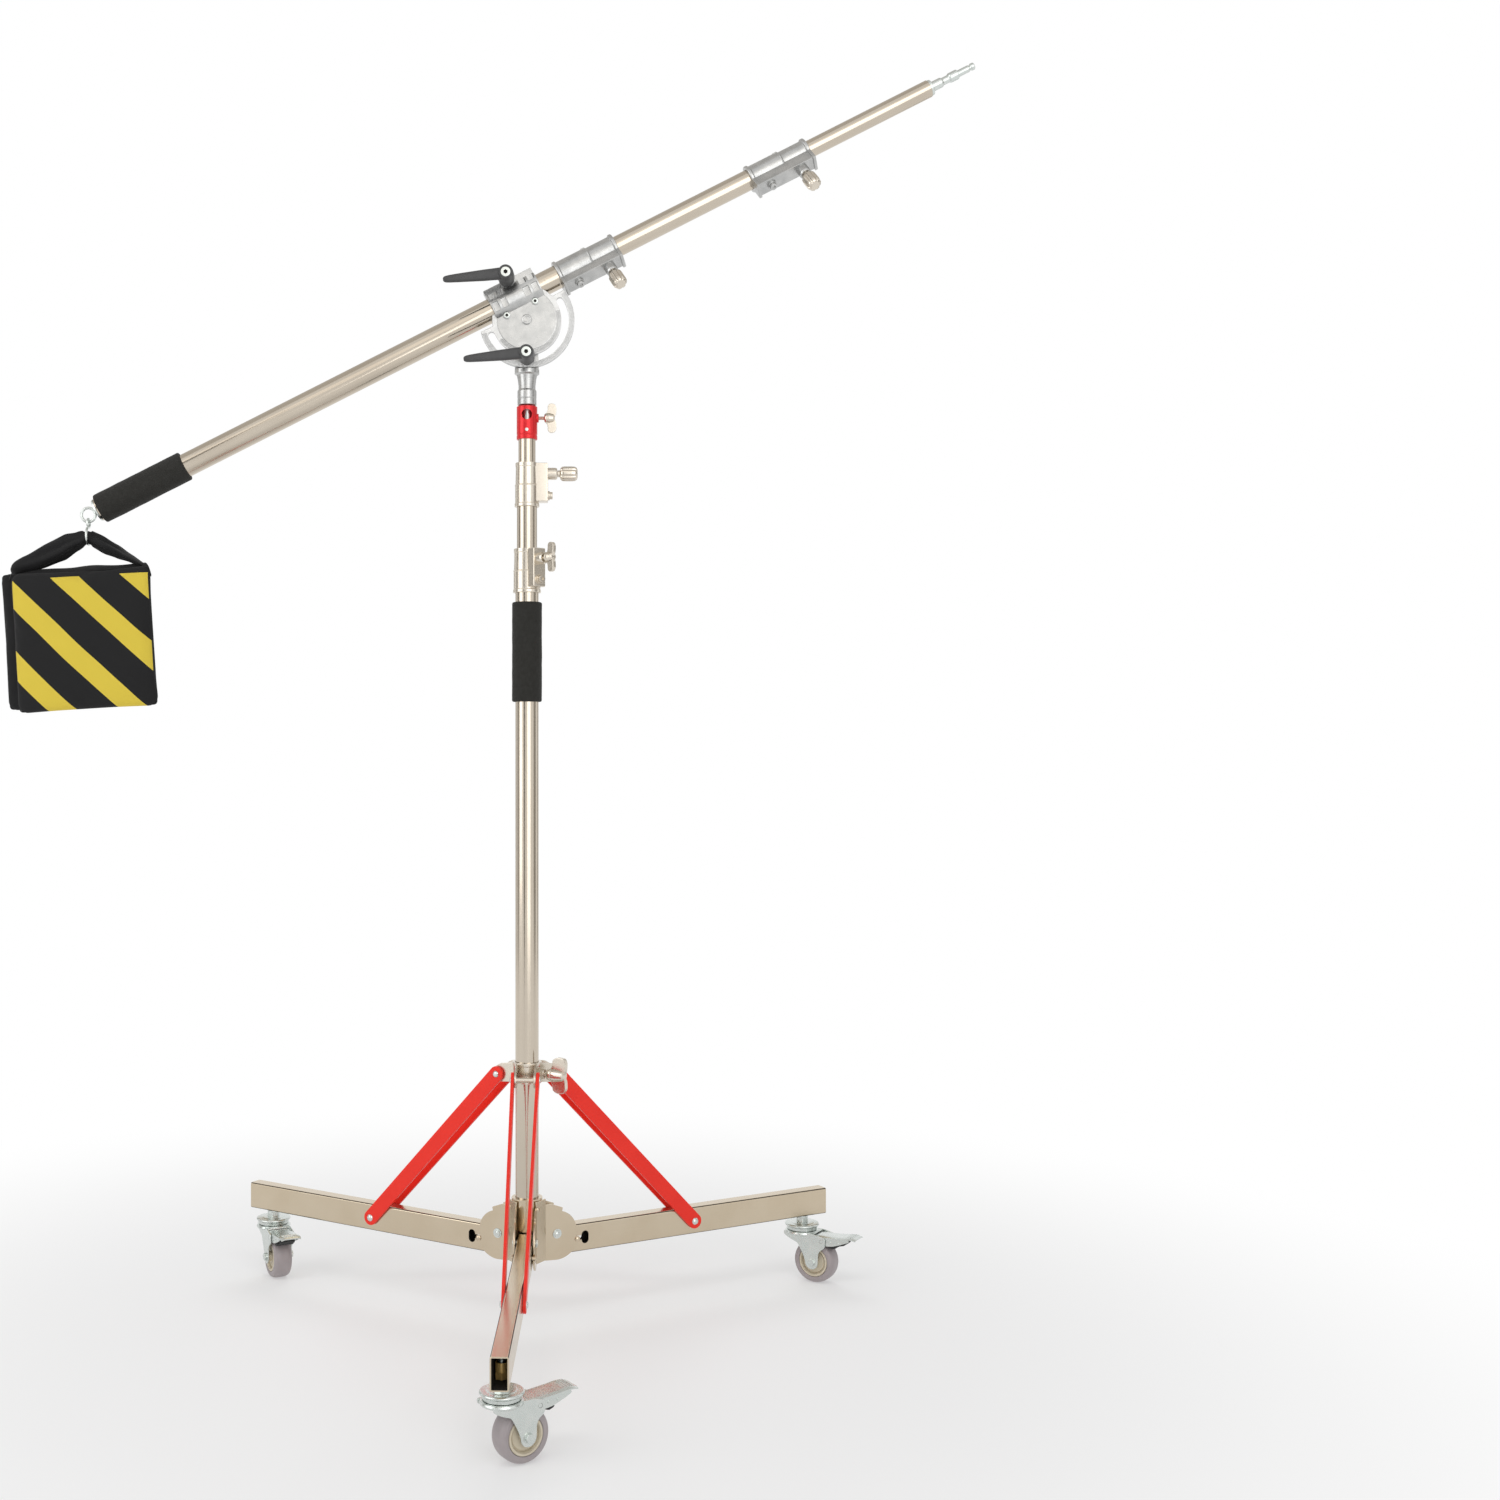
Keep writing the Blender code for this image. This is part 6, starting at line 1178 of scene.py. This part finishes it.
def filled(mesh):
    """Let the cloth settle round its filling: Blender's cloth with a light pressure, capped and applied."""
    thing = linked("settling", mesh)
    start = [v.co.copy() for v in mesh.vertices]
    step = thing.modifiers.new("cloth", "CLOTH")
    settings = {"quality": 6, "mass": 0.25, "tension_stiffness": 25, "compression_stiffness": 25,
                "shear_stiffness": 12, "bending_stiffness": 0.6, "use_pressure": True,
                "uniform_pressure_force": 2.2, "shrink_min": -0.035}
    for name, value in settings.items():
        setattr(step.settings, name, value)
    step.settings.effector_weights.gravity = 0.0
    scene = bpy.context.scene
    step.point_cache.frame_start, step.point_cache.frame_end = 1, SETTLE_FRAMES
    for number in range(1, SETTLE_FRAMES + 1):
        scene.frame_set(number)
    graph = bpy.context.evaluated_depsgraph_get()
    result = bpy.data.meshes.new_from_object(thing.evaluated_get(graph), depsgraph=graph)
    for vert, origin in zip(result.vertices, start):
        move = vert.co - origin
        if move.length > SETTLE_CAP:
            vert.co = origin + move.normalized() * SETTLE_CAP
    bpy.data.objects.remove(thing)
    scene.frame_set(1)
    return result


def creased(mesh, seed):
    """Soft creases and a puckered seam, moved in on top of the settled shape."""
    for vert in mesh.vertices:
        x, y, z = vert.co
        u, v = abs(x) / (BAG_W / 2), abs(z) / (BAG_H / 2)
        near = max(u, v)
        pucker = math.sin(x * 260 + seed) * math.sin(z * 240 + seed * 2) * 0.0005
        pucker *= max(0.0, 1 - abs(near - 0.93) / 0.07)
        lump = noise.noise(Vector((x * 16 + seed, z * 13, seed))) * 0.0022 * (1 - near ** 4)
        fold = noise.noise(Vector((x * 6, z * 45 + x * 30, seed + 7))) * 0.0016 * (1 - near ** 4)
        vert.co.y += (pucker + lump + fold) * (1 if y > 0 else -1) if near < 0.985 else 0.0
        if near >= 0.985:
            vert.co.y += math.sin(x * 33 + z * 29 + seed) * 0.0012
    return mesh


def seam():
    """A piped seam round a pouch's edge, waved like the edge."""
    w, h, radius = BAG_W / 2 - 0.0012, BAG_H / 2 - 0.0012, 0.0009
    corners = rounded([(-w, -h), (w, -h), (w, h), (-w, h)], 0.006, 6, True)
    points = []
    for (x, z), (next_x, next_z) in zip(corners, corners[1:] + corners[:1]):
        parts = max(int(math.hypot(next_x - x, next_z - z) / 0.004), 1)
        line = [(x + (next_x - x) * t / parts, z + (next_z - z) * t / parts) for t in range(parts)]
        points += [(px, math.sin(px * 33 + pz * 29) * 0.0008, pz) for px, pz in line]
    return swept(points + [points[0]], radius, 8)


def saddle():
    """The web between the pouches, arched over its middle."""
    half, rings, steps = BAG_W / 2 - 0.004, [], 16
    rise = math.tan(math.radians(BAG_ROLL))
    top = BAG_MIDDLE + BAG_H / 2
    columns = 40
    for i in range(steps + 1):
        s = -1 + 2 * i / steps
        x0, y = BAG_SHIFT - s * BAG_SKEW, s * BAG_SIDE
        z0 = top - 0.014 + 0.02 * (1 - s * s) + 0.003 * (1 + s)
        upper = []
        for k in range(columns + 1):
            x = -half + 2 * half * k / columns
            lump = noise.noise(Vector((x * 22, y * 30, 3.0))) * 0.0022
            z = z0 + rise * x + lump + math.sin(x * 70) * 0.0006
            upper.append((x0 + x, y, z))
        rings.append(upper + [(x, yy, z - 0.0032) for x, yy, z in reversed(upper)])
    return loft(rings)


# Half widths and, from each end to the middle, half heights of the strap
STRAP_WIDE, STRAP_GATHERED = 0.0245, 0.0086
STRAP_TALL = {-1: ((0, 0.0115), (0.18, 0.0145), (0.42, 0.0185), (0.66, 0.0178), (0.86, 0.0125), (1, 0.0092)),
              1: ((0, 0.0042), (0.25, 0.0066), (0.5, 0.0098), (0.74, 0.0114), (0.9, 0.0107), (1, 0.0092))}


def eased(table, share):
    """A smooth value from a table of (share, value) rows."""
    for (s0, v0), (s1, v1) in zip(table, table[1:]):
        if share <= s1:
            t = (share - s0) / (s1 - s0)
            return v0 + (v1 - v0) * t * t * (3 - 2 * t)
    return table[-1][1]


def strap():
    """The carrying strap: flat where it is sewn on, gathered in folds where the hook takes it."""
    seat = HOOK_WIRE / 2 - HOOK_LOW_R + 0.0094 + GAP
    half = BAG_W / 2 - 0.004
    rise = math.tan(math.radians(BAG_ROLL)) * half
    top = BAG_MIDDLE + BAG_H / 2
    ends = {-1: (BAG_SHIFT - half + 0.001, top - rise + 0.0095),
            1: (BAG_SHIFT + half - 0.001, top + rise + 0.004)}
    rings = []
    for i in range(81):
        s = -1 + 2 * i / 80
        side = -1 if s < 0 else 1
        share = 1 - abs(s)
        end_x, end_z = ends[side]
        x, z = end_x * (1 - share), end_z + (seat - end_z) * share ** 0.93
        gather = min(1.0, share / 0.9) ** 1.3
        wide = STRAP_WIDE + (STRAP_GATHERED - STRAP_WIDE) * gather
        tall = eased(STRAP_TALL[side], share)
        tuck = 0.62 + 0.38 * min(1.0, share / 0.06) ** 0.5
        wide, tall = wide * tuck, tall * tuck
        lean = 0.008 * math.sin(min(1.0, share / 0.8) * math.pi) * (1.0 if side < 0 else 0.35)
        ring = []
        for t in turns(72):
            pleat = 0.21 * math.sin(4 * t + 0.9 + s * 2.2) + 0.09 * math.sin(7 * t + 2.0 - s * 3.1)
            folds = 1 + pleat * min(1.0, gather * 1.4) * (1 - 0.6 * (share > 0.93))
            spot = Vector((x * 25, math.cos(t) * 1.5, math.sin(t) * 1.5))
            sway = noise.noise(spot) * 0.0012 * (1 - gather * 0.5)
            y = wide * math.cos(t) * folds
            ring.append((x, y, z + tall * math.sin(t) * folds + sway + lean * math.cos(t) * 0.6))
        rings.append(ring)
    return loft(rings)


def build_bag():
    angle = math.radians(BOOM_ANGLE)
    along = Vector((math.cos(angle), 0, math.sin(angle)))
    over = Vector((-math.sin(angle), 0, math.cos(angle)))
    eye_at = Vector((0, 0, PIVOT_HEIGHT)) + over * BOOM_LIFT - along * (BOOM_TAIL + EYE_BACK)
    hang = ROOT @ Matrix.Translation(eye_at)
    path, low = hook_path()
    piece("hook", swept(path, HOOK_WIRE / 2, 20), ZINC, hang, "hook", "s_hook")
    seat = hang @ at(0, 0, low)
    black, striped = cloth("bag_black", False), cloth("bag_striped", True)
    front = filled(pouch())
    rear = front.copy()
    for name, mesh, seed, outward, lift in (("front", front, 1.3, -1, 0.0), ("rear", rear, 4.1, 1, 0.006)):
        place = at(BAG_SHIFT - outward * BAG_SKEW, outward * BAG_SIDE, BAG_MIDDLE + lift)
        local = seat @ place @ spin(-BAG_ROLL, "Y")
        marked(creased(mesh, seed), 1, lambda c, n: n.y * outward > 0.0)
        nodes = "sandbag" if name == "front" else ()
        thing = piece(f"bag_{name}", mesh, [black, striped], local, "bag", nodes, 60.0)
        smooth = thing.modifiers.new("finer", "SUBSURF")
        smooth.levels = smooth.render_levels = 1
        piece(f"bag_seam_{name}", seam(), black, local, "bag", (), 60.0)
    piece("bag_saddle", saddle(), black, seat, "bag", (), 60.0)
    piece("bag_strap", strap(), black, seat, "bag", (), 60.0)


# Studio

# Name, place, power, width and height of each lamp
LAMPS = (("key", (-3.1, -1.7, 2.0), 31.0, 2.0, 3.4), ("fill", (1.7, -4.4, 1.7), 42.0, 2.8, 3.5),
         ("top", (0.1, -2.2, 3.9), 28.0, 3.4, 0.6), ("back", (0.3, 3.4, 3.4), 34.0, 2.6, 2.0))
# Place, width, height and grey of each panel that only reflections show
FLAGS = (((-4.6, 0.6, 1.6), 2.0, 3.6, 0.45), ((4.6, -0.4, 1.6), 2.2, 3.6, 0.4),
         ((-1.9, -4.2, 1.5), 0.9, 3.2, 0.16), ((-3.0, 3.2, 1.6), 1.2, 3.2, 0.45),
         ((3.4, 3.0, 1.6), 1.2, 3.2, 0.45), ((0.0, -4.6, 3.55), 8.0, 2.2, 1.34),
         ((0.0, 1.2, 4.4), 9.0, 6.0, 0.66))


def panel(name, width, height, paint, place):
    """A flat rectangle about its own middle."""
    x, y = width / 2, height / 2
    mesh = bpy.data.meshes.new(name)
    mesh.from_pydata([(-x, -y, 0), (x, -y, 0), (x, y, 0), (-x, y, 0)], [], [(0, 1, 2, 3)])
    mesh.materials.append(paint)
    thing = linked(name, mesh)
    thing.location = place
    return thing


def facing(place, target):
    return (Vector(target) - Vector(place)).to_track_quat("-Z", "Y").to_euler()


def floor_paint():
    """Pale paint that fades to white away from the stand."""
    paint, tree, shader = coated("floor_paint", {"Base Color": (0.9, 0.9, 0.9), "Roughness": 0.9,
                                                 "Specular IOR Level": 0.0})
    place = added(tree, "TexCoord").outputs["Object"]
    length = added(tree, "VectorMath", {0: place}, operation="LENGTH").outputs["Value"]
    fade = added(tree, "MapRange", {"Value": length, "From Min": 0.5, "From Max": 1.9, "To Min": 0.35},
                 interpolation_type="SMOOTHSTEP").outputs["Result"]
    white = added(tree, "Emission").outputs["Emission"]
    mix = added(tree, "MixShader", {"Fac": fade, 1: shader.outputs["BSDF"], 2: white})
    fed(tree.nodes["Material Output"], {"Surface": mix.outputs["Shader"]})
    return paint


def flag_paint(name, grey):
    """A plain warm grey, or bright, surface that only reflections show."""
    paint, tree, shader = coated(name, {})
    tree.nodes.remove(shader)
    light = added(tree, "Emission", {"Color": (grey, grey * 0.97, grey * 0.93), "Strength": 1.0})
    fed(tree.nodes["Material Output"], {"Surface": light.outputs["Emission"]})
    return paint


def surround():
    """A world that is white to the camera and in reflections, and softer as light."""
    world = bpy.data.worlds.new("studio")
    bpy.context.scene.world = world
    world.use_nodes = True
    tree = world.node_tree
    tree.nodes.clear()
    rays = added(tree, "LightPath").outputs
    seen = calc(tree, "MAXIMUM", rays["Is Camera Ray"], rays["Is Glossy Ray"])
    seen = calc(tree, "MAXIMUM", seen, rays["Is Transmission Ray"])
    soft, bright = (added(tree, "Background", {"Color": (1.0, 1.0, 1.0), "Strength": strength})
                    for strength in (0.5, 1.0))
    mix = added(tree, "MixShader", {"Fac": seen, 1: soft.outputs["Background"],
                                    2: bright.outputs["Background"]})
    added(tree, "OutputWorld", {"Surface": mix.outputs["Shader"]})


def studio():
    """Floor, surround, soft lamps, and panels for the metal to reflect."""
    panel("floor", 28.0, 28.0, floor_paint(), (0.05, 0.0, -0.0002))
    surround()
    for name, place, power, width, height in LAMPS:
        lamp = bpy.data.lights.new(name, "AREA")
        lamp.shape = "RECTANGLE"
        lamp.size, lamp.size_y, lamp.energy = width, height, power
        thing = linked(name, lamp)
        thing.visible_glossy = name not in ("top", "back")
        thing.location = place
        thing.rotation_euler = facing(place, (0.05, 0.1, 1.0))
    for k, (place, width, height, grey) in enumerate(FLAGS):
        flag = panel(f"flag_{k}", width, height, flag_paint(f"flag_grey_{k}", grey), place)
        flag.rotation_euler = facing(place, (0.05, 0.1, 1.2))
        flag.visible_camera = flag.visible_diffuse = flag.visible_shadow = False


def camera():
    """The photograph's level view: lens shift keeps the column left of the middle."""
    lens = bpy.data.cameras.new("camera")
    lens.lens, lens.sensor_width = 41.2, 36.0
    lens.shift_x, lens.shift_y = 0.1233, 0.0
    lens.clip_start, lens.clip_end = 0.05, 60.0
    thing = linked("camera", lens)
    origin = ROOT.translation
    thing.location = (origin.x + 0.0616, origin.y - 2.78, 0.933)
    thing.rotation_euler = (math.pi / 2, 0, 0)
    bpy.context.scene.camera = thing


build_base()
build_column()
build_head()
build_boom()
build_bag()
studio()
camera()
bpy.context.scene.view_settings.view_transform = "Standard"
